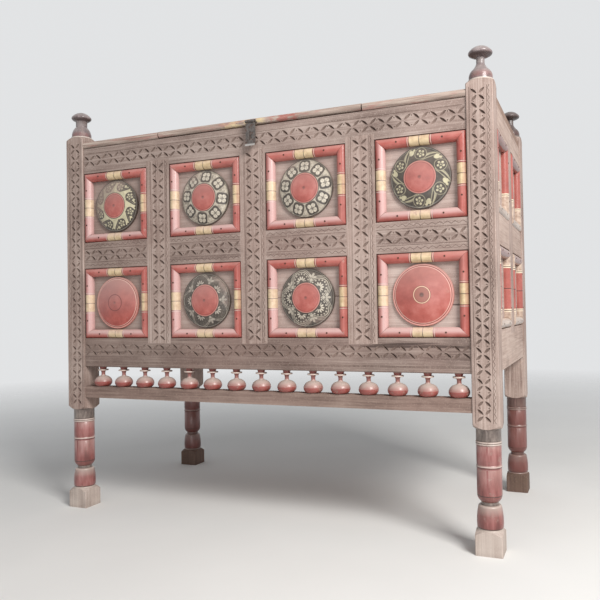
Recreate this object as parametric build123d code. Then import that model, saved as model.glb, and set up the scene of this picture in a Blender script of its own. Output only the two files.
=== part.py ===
from build123d import *
from math import asin, degrees, hypot
import os

# Dowry chest on four turned legs: post and rail frame, framed panels with turned discs, a row of spindles
# under the bottom rail, a hinged trap lid in the top and an iron hasp that closes over a staple.
# Millimetres, +Z up, +X to the right and +Y to the back. The origin is on the floor, under the middle of
# the whole envelope with the hasp included.

# ---------------------------------------------------------------- driving dimensions

# Body
overall_width = 1520.0  # across the outer faces of the posts
body_depth = 758.0  # over the outer faces of the front and back posts
post_size = 76.0
post_arris = 2.5

# Heights, from the floor up
foot_height = 68.0
turned_leg_height = 284.0
stretcher_rise = 40.0  # stretcher above the square part's lower end
stretcher_height = 40.0
spindle_height = 69.0
bottom_rail_height = 101.0
opening_height = 248.0
mid_rail_height = 92.0
top_rail_height = 89.0
side_rise = 20.0  # panels of the end walls above those of the front
top_board_thickness = 26.0
post_rise = 25.0  # square part above the top boards

# Turned leg, from the foot up
lathe_run_out = 3.0  # lathe cuts start this far outside the square's corners
pommel_height = 16.0  # slope of the square's ends into the turned leg
fillet_height = 3.0
fillet_depth = 2.0
vase_radius = 36.5
vase_top_radius = 33.0
vase_height = 67.0
vase_bulge = 2.0
leg_neck_radius = 24.0
leg_neck_height = 9.0
leg_neck_cove = 3.0
leg_radius = 35.0
leg_taper_height = 19.0
leg_taper_bulge = 2.5
lower_barrel_height = 74.0
band_height = 11.4  # between the barrels
band_crest = 1.0
upper_barrel_height = 54.0
bead_height = 5.7
bead_bulge = 2.5
groove_depth = 1.0
groove_width = 1.4
leg_top_shoulder = 5.7
pommel_bulge = 2.0

# Finials, turned by hand and not alike on the two sides
post_shoulder_drop = 24.0  # upper corners of the square cut away over this height
post_shoulder_bulge = 3.0
finial_radius = 33.5
finial_step = 3.0  # ring under the dome
finial_skirt_height = 10.0  # upright foot of the dome
finial_dome_bulge = 2.5
left_dome_height = 38.0
left_dome_top_radius = 21.0
left_throat_height = 4.0
left_neck_radius = 19.5
right_dome_height = 31.0
right_dome_top_radius = 23.0
right_throat_height = 17.0
right_neck_radius = 12.0
finial_cove = 1.0
finial_neck_height = 19.0
finial_cap_radius = 32.5
finial_bowl_height = 7.0  # underside of the cap
finial_bowl_bulge = 1.5
finial_lip_height = 9.0
finial_lip_bulge = 1.8
finial_crown_height = 16.0

# Frame joinery
rail_setback = 5.0
rail_thickness = 40.0
stile_width = 92.0
tenon_length = 25.0
tenon_thickness = 20.0
tenon_shoulder = 12.0
mid_tenon_length = 15.0
lap_length = 18.0
lap_thickness = 12.0
rail_chamfer = 3.0
joint_gap = 0.2

# Panels, mouldings and discs
front_columns = 4
side_columns = 2
field_recess = 16.0  # field behind the rails' faces
field_thickness = 12.0
field_tongue = 8.0
moulding_radius = 15.0
moulding_stilt = 6.0  # upright flanks under the half round
moulding_gap = 0.4
disc_radius = 90.0
disc_edge = 9.0
disc_crown = 22.0
disc_rim_width = 7.0
disc_rim_step = 2.0
disc_edge_bulge = 0.8
nail_head_radius = 2.6
nail_head_thickness = 1.6
nail_proud = 0.6
nail_shank_radius = 1.3
nail_hold = 6.0  # shank inside the field

# Spindles and stretcher
spindle_count = 15
spindle_left_margin = 62.0  # first axis from the left post
spindle_right_margin = 39.0
spindle_foot_radius = 19.0
spindle_ball_radius = 30.5
spindle_ball_height = 36.5
spindle_belly_height = 17.0  # widest level of the ball
spindle_belly_bulge = 3.5
spindle_shoulder_radius = 11.0
spindle_shoulder_bulge = 4.5
spindle_neck_radius = 6.5
spindle_neck_cove = 5.0
spindle_flare_radius = 9.5
spindle_flare_height = 11.0
spindle_cove_depth = 1.0
spindle_collar_radius = 17.5
spindle_collar_thickness = 4.0
spindle_collar_bulge = 1.0
spindle_stub_height = 9.5  # between the collar and the rail
spindle_stub_foot_radius = 10.5
spindle_stub_top_radius = 13.0
spindle_spigot_radius = 6.0
spindle_spigot_length = 10.0
stretcher_depth = 40.0
stretcher_tenon_shoulder = 10.0

# Back, floor and top
back_board_count = 6
board_gap = 1.0
floor_thickness = 18.0
floor_rise = 9.0  # floor above the bottom rail's lower face
floor_tongue = 8.0
floor_board_count = 8
bearer_width = 60.0
bearer_height = 40.0
bearer_tenon = 10.0
bearer_ledge = 25.0  # bearer inside the lid opening
top_edge_setback = 7.0
cap_strip_depth = 15.0
cap_strip_setback = 1.0

# Lid
lid_width = 738.0
lid_offset = 7.0  # middle of the lid, right of the chest's middle
lid_depth = 400.0  # from the cap strip's back to the hinge axis
lid_rest_gap = 0.3
lid_strip_lift = 4.0
lid_side_gap = 1.0
lid_strip_end_gap = 4.0
lid_rear_gap = 1.5
lid_board_count = 3
batten_width = 45.0
batten_height = 20.0
batten_front_gap = 15.0
batten_rear_gap = 40.0
pivot_pin_radius = 5.0
pivot_pin_hold = 40.0
pivot_pin_reach = 25.0
running_gap = 0.08

# Hasp, its hinge and the staple
hasp_standoff = 20.0  # hinge axis in front of the rails' faces
hasp_drop = 4.0  # hinge axis below the middle of the lid's strip
strap_setback = 0.8  # strap behind the hinge axis, so that it hangs straight with its lip bent out
strap_width = 34.0
strap_thickness = 3.0
strap_top_drop = 6.0  # strap's upper edge below the hinge axis
strap_length = 67.0
lip_drop = 13.0
lip_reach = 8.0
slot_drop = 47.0
slot_width = 8.0
slot_length = 28.0
knuckle_radius = 5.0
knuckle_width = 14.0
eye_width = 9.0
knuckle_gap = 0.4
hasp_pin_radius = 2.5
hasp_pin_head = 4.0
hasp_pin_head_thickness = 2.0
spike_radius = 2.5
spike_hold = 45.0
staple_rod_radius = 2.0
staple_bow_radius = 8.0
staple_gap = 0.7  # staple's bow behind the hanging strap
staple_hold = 25.0

# ---------------------------------------------------------------- levels and faces worked out from them

leg_top = foot_height + turned_leg_height
stretcher_bottom = leg_top + stretcher_rise
stretcher_top = stretcher_bottom + stretcher_height
bottom_rail_bottom = stretcher_top + spindle_height
bottom_rail_top = bottom_rail_bottom + bottom_rail_height
mid_rail_bottom = bottom_rail_top + opening_height
mid_rail_top = mid_rail_bottom + mid_rail_height
top_rail_bottom = mid_rail_top + opening_height
top_rail_top = top_rail_bottom + top_rail_height
top_face = top_rail_top + top_board_thickness
post_top = top_face + post_rise

finial_shapes = {
    "left": (left_dome_height, left_dome_top_radius, left_throat_height, left_neck_radius),
    "right": (right_dome_height, right_dome_top_radius, right_throat_height, right_neck_radius),
}

front_inner_width = overall_width - 2 * post_size
side_inner_width = body_depth - 2 * post_size

# Each wall is drawn in its own frame: across, depth inwards from the posts' outer faces, height.
rail_v = (rail_setback, rail_setback + rail_thickness)
rail_middle_v = rail_setback + rail_thickness / 2
tenon_v = (rail_middle_v - tenon_thickness / 2, rail_middle_v + tenon_thickness / 2)
lap_v = (rail_setback, rail_setback + lap_thickness)
field_face_v = rail_setback + field_recess
field_v = (field_face_v, field_face_v + field_thickness)
stretcher_v = (rail_setback, rail_setback + stretcher_depth)

hasp_proud = hasp_standoff - strap_setback + strap_thickness / 2 + lip_reach - rail_setback
body_middle_y = hasp_proud / 2
front_y = body_middle_y - body_depth / 2
back_y = body_middle_y + body_depth / 2
right_x = overall_width / 2

wall_place = {
    "front": Pos(0, front_y, 0),
    "right": Pos(right_x, body_middle_y, 0) * Rot(0, 0, 90),
    "back": Pos(0, back_y, 0) * Rot(0, 0, 180),
    "left": Pos(-right_x, body_middle_y, 0) * Rot(0, 0, -90),
}
wall_inner_width = {
    "front": front_inner_width,
    "right": side_inner_width,
    "back": front_inner_width,
    "left": side_inner_width,
}
wall_columns = {"front": front_columns, "right": side_columns, "left": side_columns}
wall_rise = {"front": 0.0, "right": side_rise, "back": 0.0, "left": side_rise}

lid_x = (lid_offset - lid_width / 2, lid_offset + lid_width / 2)
lid_front_y = front_y + cap_strip_setback + cap_strip_depth
hinge_y = lid_front_y + lid_depth
lid_bottom = top_rail_top + lid_rest_gap
lid_half_thickness = (top_face - lid_bottom) / 2
hinge_z = lid_bottom + lid_half_thickness
lid_strip_z = (top_rail_top + lid_strip_lift, top_face)
hasp_x = lid_offset
hasp_y = front_y + rail_setback - hasp_standoff
hasp_z = sum(lid_strip_z) / 2 - hasp_drop
moulding_crest_v = field_face_v - moulding_stilt - moulding_radius


# ---------------------------------------------------------------- shared shapes


def span_box(x, y, z):
    """Box between pairs of limits."""
    spans = (x, y, z)
    middle = [(low + high) / 2 for low, high in spans]
    return Pos(*middle) * Box(*[high - low for low, high in spans])


def seat_box(x, y, z):
    """Cutter for a piece that fills the box, with the joint's clearance all round."""
    return span_box(*[(low - joint_gap, high + joint_gap) for low, high in (x, y, z)])


def rod(start, direction, radius, length):
    """Round bar from a point along a direction."""
    return extrude(Plane(origin=start, z_dir=direction) * Circle(radius), amount=length)


def cut(shape, cutters):
    """The shape without the cutters that reach it."""
    limits = shape.bounding_box()
    near = []
    for cutter in cutters:
        other = cutter.bounding_box()
        apart = (
            other.min.X >= limits.max.X
            or other.max.X <= limits.min.X
            or other.min.Y >= limits.max.Y
            or other.max.Y <= limits.min.Y
            or other.min.Z >= limits.max.Z
            or other.max.Z <= limits.min.Z
        )
        if not apart:
            near.append(cutter)
    return shape - near if near else shape


def dome_arc(radius, height, crown):
    """Arc from a point up to the crown on the axis, its centre on the axis."""
    rise = crown - height
    sphere = (radius**2 + rise**2) / (2 * rise)
    start = degrees(asin((sphere - rise) / sphere))
    return CenterArc((0, crown - sphere), sphere, start, 90 - start)


def turned(outline, crown=None):
    """Solid of revolution about Z, with a domed end up to the crown's height where one is given.

    Each point of the outline is (radius, height) or (radius, height, outward bulge of the way to it).
    """
    foot = (0, outline[0][1])
    path = []
    here = foot
    for radius, height, *bulge in outline:
        there = (radius, height)
        if bulge:
            path.append(SagittaArc(here, there, -bulge[0]))
        else:
            path.append(Line(here, there))
        here = there
    if crown is None:
        path.append(Line(here, (0, here[1])))
        path.append(Line((0, here[1]), foot))
    else:
        path.append(dome_arc(*here, crown))
        path.append(Line((0, crown), foot))
    section = Plane.XZ * make_face(Wire(path))
    return revolve(section, Axis.Z)


def split_evenly(low, high, count, gap):
    """Limits of equal boards side by side with a gap between neighbours."""
    pitch = (high - low + gap) / count
    return [(low + i * pitch, low + (i + 1) * pitch - gap) for i in range(count)]


def placed(wall, shapes):
    """Shapes drawn in a wall's frame, moved to that wall."""
    return [wall_place[wall] * shape for shape in shapes]


def solids_of(shapes):
    """All solids of several shapes as one compound."""
    return Compound(children=[solid for shape in shapes for solid in shape.solids()])


# ---------------------------------------------------------------- posts


def leg_outline(whole):
    """Lathe cut of the leg between the block foot and the square shaft, from the bottom up."""
    vase_z = foot_height + vase_height
    neck_z = vase_z + leg_neck_height
    barrel_z = neck_z + leg_taper_height
    band_z = barrel_z + lower_barrel_height
    upper_z = band_z + band_height
    bead_z = upper_z + upper_barrel_height
    collar_z = bead_z + 2 * bead_height
    groove = leg_radius - groove_depth
    return [
        (vase_radius, foot_height),
        (vase_radius - fillet_depth, foot_height + fillet_height),
        (vase_radius, foot_height + 2 * fillet_height),
        (vase_top_radius, vase_z - 2 * fillet_height, vase_bulge),
        (leg_neck_radius, vase_z, leg_neck_cove),
        (leg_neck_radius, neck_z),
        (leg_radius, barrel_z, leg_taper_bulge),
        (leg_radius, band_z - groove_width),
        (groove, band_z),
        (leg_radius + band_crest, band_z + band_height / 2, band_crest / 2),
        (groove, upper_z, band_crest / 2),
        (leg_radius, upper_z + groove_width),
        (leg_radius, bead_z - groove_width),
        (groove, bead_z),
        (groove, bead_z + bead_height, bead_bulge),
        (groove, collar_z, bead_bulge),
        (leg_radius, collar_z + groove_width),
        (leg_radius, leg_top - leg_top_shoulder),
        (whole, leg_top + pommel_height, pommel_bulge),
    ]


def finial_outline(whole, side):
    """Lathe cut of the post's top up to the crown: shoulder, ring, dome, throat, neck, bowl and lip."""
    dome_height, dome_top_radius, throat_height, neck_radius = finial_shapes[side]
    ring_radius = finial_radius + finial_step
    dome_z = post_top + dome_height
    neck_z = dome_z + throat_height
    bowl_z = neck_z + finial_neck_height
    lip_z = bowl_z + finial_bowl_height
    return [
        (whole, post_top - post_shoulder_drop),
        (ring_radius, post_top - fillet_height, post_shoulder_bulge),
        (ring_radius, post_top),
        (finial_radius, post_top),
        (finial_radius, post_top + finial_skirt_height),
        (dome_top_radius, dome_z, finial_dome_bulge),
        (neck_radius, neck_z, -finial_cove),
        (neck_radius, bowl_z),
        (finial_cap_radius, lip_z, finial_bowl_bulge),
        (finial_cap_radius, lip_z + finial_lip_height, finial_lip_bulge),
    ]


def post(side, x, y):
    """One timber: square where the lathe leaves it, turned below and above."""
    whole = hypot(post_size, post_size) / 2 + lathe_run_out
    foot = [(whole, 0), (whole, foot_height - pommel_height)]
    top = finial_outline(whole, side)
    tip = top[-1][1] + finial_crown_height
    square = Pos(0, 0, tip / 2) * Box(post_size, post_size, tip)
    square = chamfer(square.edges().filter_by(Axis.Z), post_arris)
    lathe_cut = turned(foot + leg_outline(whole) + top, tip)
    return Pos(x, y, 0) * (square & lathe_cut)


# ---------------------------------------------------------------- walls, each in its own frame


def rail_levels(wall):
    """Lower and upper limit of a wall's rails."""
    rise = wall_rise[wall]
    return {
        "bottom": (bottom_rail_bottom, bottom_rail_top + rise),
        "mid": (mid_rail_bottom + rise, mid_rail_top + rise),
        "top": (top_rail_bottom + rise, top_rail_top),
    }


def opening_levels(wall):
    """Lower and upper limit of both rows of openings."""
    rails = rail_levels(wall)
    return {"lower": (rails["bottom"][1], rails["mid"][0]), "upper": (rails["mid"][1], rails["top"][0])}


def column_limits(wall):
    """Left and right edge of every panel opening."""
    half = wall_inner_width[wall] / 2
    return split_evenly(-half, half, wall_columns[wall], stile_width)


def tenon_box(wall, v, z):
    """Tongue through both ends of a rail into the posts."""
    reach = wall_inner_width[wall] / 2 + tenon_length
    return (-reach, reach), v, (z[0] + tenon_shoulder, z[1] - tenon_shoulder)


def mid_tenon_box(wall, u):
    """Tongue through both ends of a short rail."""
    bottom, top = rail_levels(wall)["mid"]
    return (
        (u[0] - mid_tenon_length, u[1] + mid_tenon_length),
        field_v,
        (bottom + tenon_shoulder, top - tenon_shoulder),
    )


def field_box(u, z):
    """Field board with its tongues."""
    return (
        (u[0] - field_tongue, u[1] + field_tongue),
        field_v,
        (z[0] - field_tongue, z[1] + field_tongue),
    )


def stile_limits(wall):
    """Left and right edge of every stile."""
    columns = column_limits(wall)
    return [(left[1], right[0]) for left, right in zip(columns, columns[1:])]


def lap_boxes(wall, u):
    """Laps of a stile over the rails above and below."""
    rails = rail_levels(wall)
    low = rails["bottom"][1]
    high = rails["top"][0]
    return [(u, lap_v, (low - lap_length, low)), (u, lap_v, (high, high + lap_length))]


def field_seats(wall):
    """Grooves for every field board of a wall."""
    return [
        seat_box(*field_box(u, z))
        for u in column_limits(wall)
        for z in opening_levels(wall).values()
    ]


def long_rail(wall, level, seats):
    """Top or bottom rail with its tenons, cut for stiles, fields and whatever else it takes."""
    half = wall_inner_width[wall] / 2
    z = rail_levels(wall)[level]
    rail = span_box((-half, half), rail_v, z)
    if level == "bottom":
        outer_edges = rail.edges().filter_by(Axis.X).group_by(Axis.Y)[0]
        rail = chamfer(outer_edges.sort_by(Axis.Z)[0], rail_chamfer)
    rail += span_box(*tenon_box(wall, tenon_v, z))
    return cut(rail, seats)


def stile(wall, u, seats):
    """Full height stile with laps over both rails."""
    rails = rail_levels(wall)
    body = span_box(u, rail_v, (rails["bottom"][1], rails["top"][0]))
    for lap in lap_boxes(wall, u):
        body += span_box(*lap)
    return cut(body, seats)


def mid_rail(wall, u, seats):
    """Short rail between the two rows of panels."""
    body = span_box(u, rail_v, rail_levels(wall)["mid"]) + span_box(*mid_tenon_box(wall, u))
    return cut(body, seats)


# ---------------------------------------------------------------- panel ornament


def nail_places(length):
    """Nails of one bar, along it from its middle."""
    return (-length / 4, length / 4)


def nail(grow=0.0):
    """Nail along +Y, its head's face on the moulding's crest, with room around it when it is a cutter."""
    head_from = moulding_crest_v - nail_proud
    head = rod((0, head_from, 0), (0, 1, 0), nail_head_radius + grow, nail_head_thickness + grow)
    shank_length = field_face_v + nail_hold - head_from
    shank = rod((0, head_from, 0), (0, 1, 0), nail_shank_radius + grow, shank_length + grow)
    return head + shank


def moulding_bars(u, z):
    """Places, lengths and turns of the four bars around one opening."""
    width = u[1] - u[0] - 2 * moulding_gap
    height = z[1] - z[0] - 2 * moulding_gap
    middle_u = sum(u) / 2
    middle_z = sum(z) / 2
    side = width / 2 - moulding_radius
    rise = height / 2 - moulding_radius
    return [
        (Pos(middle_u, 0, middle_z - rise), width),
        (Pos(middle_u, 0, middle_z + rise) * Rot(0, 180, 0), width),
        (Pos(middle_u - side, 0, middle_z) * Rot(0, 90, 0), height),
        (Pos(middle_u + side, 0, middle_z) * Rot(0, -90, 0), height),
    ]


def rounded_bar(length):
    """Bar along X with upright flanks, a half round crest and mitred ends, its outer edge at -Z."""
    diameter = 2 * moulding_radius
    half_round = Circle(moulding_radius) & (Pos(0, moulding_radius) * Rectangle(diameter, diameter))
    flanks = Pos(0, moulding_stilt / 2) * Rectangle(diameter, moulding_stilt)
    profile = flanks + Pos(0, moulding_stilt) * half_round
    bar_plane = Plane(origin=(-length / 2, field_face_v, 0), x_dir=(0, 0, 1), z_dir=(1, 0, 0))
    bar = extrude(bar_plane * profile, amount=length)
    inner_half = length / 2 - diameter
    mitre = make_face(
        Polyline(
            (-length / 2, -moulding_radius),
            (length / 2, -moulding_radius),
            (inner_half, moulding_radius),
            (-inner_half, moulding_radius),
            close=True,
        )
    )
    mitre_plane = Plane(origin=(0, field_face_v, 0), x_dir=(1, 0, 0), z_dir=(0, -1, 0))
    return bar & extrude(mitre_plane * mitre, amount=diameter, both=True)


def moulding_frame(u, z):
    """Four bars around an opening, drilled for their nails."""
    bars = []
    for place, length in moulding_bars(u, z):
        bar = rounded_bar(length)
        holes = [Pos(offset, 0, 0) * nail(running_gap) for offset in nail_places(length)]
        bars.append(place * cut(bar, holes))
    return bars


def frame_nails(u, z, grow=0.0):
    """Nails of one moulding frame."""
    return [
        place * Pos(offset, 0, 0) * nail(grow)
        for place, length in moulding_bars(u, z)
        for offset in nail_places(length)
    ]


def disc(u, z):
    """Turned disc with a domed face and a small step at its rim, lying on the field."""
    dome_radius = disc_radius - disc_rim_width
    outline = [
        (disc_radius, 0),
        (disc_radius, disc_edge - disc_rim_step, disc_edge_bulge),
        (dome_radius, disc_edge - disc_rim_step),
        (dome_radius, disc_edge),
    ]
    middle = (sum(u) / 2, field_face_v, sum(z) / 2)
    return Pos(*middle) * Rot(90, 0, 0) * turned(outline, disc_crown)


def wall_openings(wall):
    """Every opening of a wall as (row, number, across limits, height limits)."""
    return [
        (row, number + 1, u, z)
        for row, z in opening_levels(wall).items()
        for number, u in enumerate(column_limits(wall))
    ]


# ---------------------------------------------------------------- spindles and stretcher


def spindle():
    """Squat turned spindle between spigots, standing on its stretcher."""
    stub_z = spindle_height - spindle_stub_height
    collar_z = stub_z - spindle_collar_thickness
    outline = [
        (spindle_spigot_radius, -spindle_spigot_length),
        (spindle_spigot_radius, 0),
        (spindle_foot_radius, 0),
        (spindle_ball_radius, spindle_belly_height, spindle_belly_bulge),
        (spindle_shoulder_radius, spindle_ball_height, spindle_shoulder_bulge),
        (spindle_neck_radius, spindle_ball_height + spindle_neck_cove, -spindle_cove_depth),
        (spindle_neck_radius, collar_z - spindle_flare_height),
        (spindle_flare_radius, collar_z, -spindle_cove_depth),
        (spindle_collar_radius, collar_z),
        (spindle_collar_radius, stub_z, spindle_collar_bulge),
        (spindle_stub_foot_radius, stub_z),
        (spindle_stub_top_radius, spindle_height),
        (spindle_spigot_radius, spindle_height),
        (spindle_spigot_radius, spindle_height + spindle_spigot_length),
    ]
    return turned(outline)


def spindle_places():
    """Spindles at equal steps between the posts."""
    first = spindle_left_margin - front_inner_width / 2
    last = front_inner_width / 2 - spindle_right_margin
    pitch = (last - first) / (spindle_count - 1)
    return [Pos(first + i * pitch, rail_middle_v, stretcher_top) for i in range(spindle_count)]


def spigot_seats():
    """Holes for the spigots in the rail above and the stretcher below."""
    radius = spindle_spigot_radius + joint_gap
    depth = spindle_spigot_length + joint_gap
    lower = rod((0, 0, -depth), (0, 0, 1), radius, depth)
    upper = rod((0, 0, spindle_height), (0, 0, 1), radius, depth)
    return [place * hole for place in spindle_places() for hole in (lower, upper)]


# ---------------------------------------------------------------- floor, back and top


def post_boxes(gap):
    """The four posts as plain squares with a gap around them."""
    reach = post_size + gap
    return [
        span_box(x, y, (0, post_top))
        for x in ((-right_x, -right_x + reach), (right_x - reach, right_x))
        for y in ((front_y, front_y + reach), (back_y - reach, back_y))
    ]


def floor_limits():
    """Outer limits of the floor, its tongues included."""
    inset = rail_v[1] - floor_tongue
    bottom = bottom_rail_bottom + floor_rise
    return (
        (-right_x + inset, right_x - inset),
        (front_y + inset, back_y - inset),
        (bottom, bottom + floor_thickness),
    )


def floor_boards():
    """Boards from front to back, notched around the posts."""
    x, y, z = floor_limits()
    boards = [span_box(span, y, z) for span in split_evenly(*x, floor_board_count, board_gap)]
    return [cut(board, post_boxes(joint_gap)) for board in boards]


def back_board_boxes():
    """Upright boards between the back rails, with tongues into them and the posts."""
    half = front_inner_width / 2 + field_tongue
    rails = rail_levels("back")
    z = (rails["bottom"][1] - field_tongue, rails["top"][0] + field_tongue)
    return [(u, field_v, z) for u in split_evenly(-half, half, back_board_count, board_gap)]


def bearer_x():
    """Limits across of the two bearers beside the lid."""
    outside = bearer_width - bearer_ledge
    return [
        (lid_x[0] - outside, lid_x[0] + bearer_ledge),
        (lid_x[1] - bearer_ledge, lid_x[1] + outside),
    ]


def bearer_boxes():
    """Bearers from the front rail to the back rail, tenons included."""
    reach = rail_v[1] - bearer_tenon
    y = (front_y + reach, back_y - reach)
    return [(x, y, (top_rail_top - bearer_height, top_rail_top)) for x in bearer_x()]


def pivot_pins(grow=0.0):
    """Hinge pins through the joint between the lid and the boards beside it."""
    length = pivot_pin_hold + lid_side_gap + pivot_pin_reach + 2 * grow
    left = (lid_x[0] - pivot_pin_reach - grow, hinge_y, hinge_z)
    right = (lid_x[1] - lid_side_gap - pivot_pin_hold - grow, hinge_y, hinge_z)
    return [rod(start, (1, 0, 0), pivot_pin_radius + grow, length) for start in (left, right)]


def end_boards():
    """Fixed boards at both ends of the top, cut around the posts and bored for the hinge pins."""
    y = (lid_front_y, back_y - top_edge_setback)
    z = (top_rail_top, top_face)
    edge = right_x - top_edge_setback
    spans = split_evenly(-edge, lid_x[0], 2, board_gap) + split_evenly(lid_x[1], edge, 2, board_gap)
    cutters = post_boxes(joint_gap) + pivot_pins(running_gap)
    return [cut(span_box(x, y, z), cutters) for x in spans]


def rear_boards():
    """Fixed boards behind the lid, lying on the bearers and the back rail."""
    x = (lid_x[0] + lid_side_gap, lid_x[1] - lid_side_gap)
    front = hinge_y + lid_half_thickness + lid_rear_gap
    z = (top_rail_top, top_face)
    spans = split_evenly(front, back_y - top_edge_setback, 2, board_gap)
    return [span_box(x, y, z) for y in spans]


def cap_strip(x, z):
    """Half round strip nailed along the front edge of the top."""
    radius = (z[1] - z[0]) / 2
    front = lid_front_y - cap_strip_depth
    strip = rod((x[0], front + radius, sum(z) / 2), (1, 0, 0), radius, x[1] - x[0])
    strip += span_box(x, (front + radius, lid_front_y), z)
    return strip & span_box(x, (front, lid_front_y), z)


def fixed_cap_strips():
    """Strips left and right of the lid."""
    half = front_inner_width / 2
    z = (top_rail_top, top_face)
    return [cap_strip((-half, lid_x[0]), z), cap_strip((lid_x[1], half), z)]


# ---------------------------------------------------------------- lid and hasp


def lid_boards():
    """Boards along the lid; the rear one is rounded about the hinge axis."""
    x = (lid_x[0] + lid_side_gap, lid_x[1] - lid_side_gap)
    z = (lid_bottom, top_face)
    boards = [span_box(x, y, z) for y in split_evenly(lid_front_y, hinge_y, lid_board_count, board_gap)]
    boards[-1] += rod((x[0], hinge_y, hinge_z), (1, 0, 0), lid_half_thickness, x[1] - x[0])
    return [cut(board, pivot_pins() + eye_spikes(running_gap)) for board in boards]


def lid_battens():
    """Battens under the lid's boards."""
    y = (front_y + rail_v[1] + batten_front_gap, hinge_y - batten_rear_gap)
    z = (lid_bottom - batten_height, lid_bottom)
    middles = [lid_offset - lid_width / 4, lid_offset + lid_width / 4]
    return [span_box((x - batten_width / 2, x + batten_width / 2), y, z) for x in middles]


def eye_middles():
    """Middles across of the two eyes beside the hasp's knuckle."""
    offset = knuckle_width / 2 + knuckle_gap + eye_width / 2
    return (hasp_x - offset, hasp_x + offset)


def eye_spikes(grow=0.0):
    """Spikes of the hasp's eyes, through the cap strip into the lid, with room around them as cutters."""
    length = lid_front_y - hasp_y + spike_hold + grow
    return [rod((x, hasp_y, hasp_z), (0, 1, 0), spike_radius + grow, length) for x in eye_middles()]


def hasp_eyes():
    """Two eyes with spikes that carry the hasp's pin."""
    bore = hasp_pin_radius + running_gap
    hole = rod((hasp_x - strap_width, hasp_y, hasp_z), (1, 0, 0), bore, 2 * strap_width)
    eyes = []
    for x, spike in zip(eye_middles(), eye_spikes()):
        ring = rod((x - eye_width / 2, hasp_y, hasp_z), (1, 0, 0), knuckle_radius, eye_width)
        eyes.append(ring + spike - hole)
    return eyes


def hasp_pin():
    """Pin through the eyes and the knuckle, headed at both ends."""
    half = knuckle_width / 2 + knuckle_gap + eye_width
    left = hasp_x - half
    right = hasp_x + half
    pin = rod((left, hasp_y, hasp_z), (1, 0, 0), hasp_pin_radius, right - left)
    for start in (left - hasp_pin_head_thickness, right):
        pin += rod((start, hasp_y, hasp_z), (1, 0, 0), hasp_pin_head, hasp_pin_head_thickness)
    return pin


def hasp():
    """Strap that hangs from its knuckle, slotted for the staple, with its lower end bent out."""
    front = strap_setback - strap_thickness / 2
    back = strap_setback + strap_thickness / 2
    section = make_face(
        Polyline(
            (front, -strap_top_drop),
            (front, -strap_length),
            (front - lip_reach, -strap_length - lip_drop),
            (back - lip_reach, -strap_length - lip_drop),
            (back, -strap_length),
            (back, -strap_top_drop),
            close=True,
        )
    )
    side_plane = Plane(origin=(-strap_width / 2, 0, 0), x_dir=(0, 1, 0), z_dir=(1, 0, 0))
    strap = extrude(side_plane * section, amount=strap_width)
    knuckle = rod((-knuckle_width / 2, 0, 0), (1, 0, 0), knuckle_radius, knuckle_width)
    neck_top = knuckle_radius + strap_top_drop
    neck = span_box((-knuckle_width / 2, knuckle_width / 2), (front, back), (-neck_top, 0))
    hole = rod((-knuckle_width, 0, 0), (1, 0, 0), hasp_pin_radius + running_gap, 2 * knuckle_width)
    slot = extrude(
        Plane(origin=(0, 0, -slot_drop), x_dir=(0, 0, 1), z_dir=(0, 1, 0))
        * SlotOverall(slot_length, slot_width),
        amount=2 * strap_thickness,
        both=True,
    )
    return Pos(hasp_x, hasp_y, hasp_z) * (strap + neck + knuckle - hole - slot)


def staple_rods():
    """Staple driven into the top rail behind the hasp's slot: two legs and a bow."""
    tip_y = hasp_y + strap_setback + strap_thickness / 2 + staple_gap
    bow_y = tip_y + staple_rod_radius + staple_bow_radius
    leg_end = front_y + rail_setback + staple_hold
    z = hasp_z - slot_drop
    bow = Torus(staple_bow_radius, staple_rod_radius)
    bow = Pos(hasp_x, bow_y, z) * Rot(0, 90, 0) * bow
    reach = 2 * staple_bow_radius
    bow &= span_box((hasp_x - reach, hasp_x + reach), (bow_y - reach, bow_y), (z - reach, z + reach))
    staple = bow
    for side in (-staple_bow_radius, staple_bow_radius):
        staple += rod((hasp_x, bow_y, z + side), (0, 1, 0), staple_rod_radius, leg_end - bow_y)
    return staple


# ---------------------------------------------------------------- putting the chest together


def wall_pieces(wall, extra_seats):
    """Rails, stiles, fields and mouldings of a panelled wall, placed."""
    grooves = field_seats(wall)
    laps = [seat_box(*lap) for u in stile_limits(wall) for lap in lap_boxes(wall, u)]
    mid_tenons = [seat_box(*mid_tenon_box(wall, u)) for u in column_limits(wall)]
    openings = wall_openings(wall)
    nail_holes = [hole for _, _, u, z in openings for hole in frame_nails(u, z, running_gap)]
    seats = grooves + laps + extra_seats
    return {
        "top_rail": placed(wall, [long_rail(wall, "top", seats)]),
        "bottom_rail": placed(wall, [long_rail(wall, "bottom", seats)]),
        "mid_rails": placed(wall, [mid_rail(wall, u, grooves) for u in column_limits(wall)]),
        "stiles": placed(wall, [stile(wall, u, grooves + mid_tenons) for u in stile_limits(wall)]),
        "fields": {
            (row, number): placed(wall, [cut(span_box(*field_box(u, z)), nail_holes)])
            for row, number, u, z in openings
        },
        "mouldings": {(row, number): placed(wall, moulding_frame(u, z)) for row, number, u, z in openings},
        "nails": placed(wall, [piece for _, _, u, z in openings for piece in frame_nails(u, z)]),
    }


def back_pieces():
    """Rails and boards of the plain back, placed."""
    boards = back_board_boxes()
    grooves = [seat_box(*board) for board in boards]
    return {
        "back_top_rail": placed("back", [long_rail("back", "top", grooves)]),
        "back_bottom_rail": placed("back", [long_rail("back", "bottom", grooves)]),
        "back_boards": placed("back", [span_box(*board) for board in boards]),
    }


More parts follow.
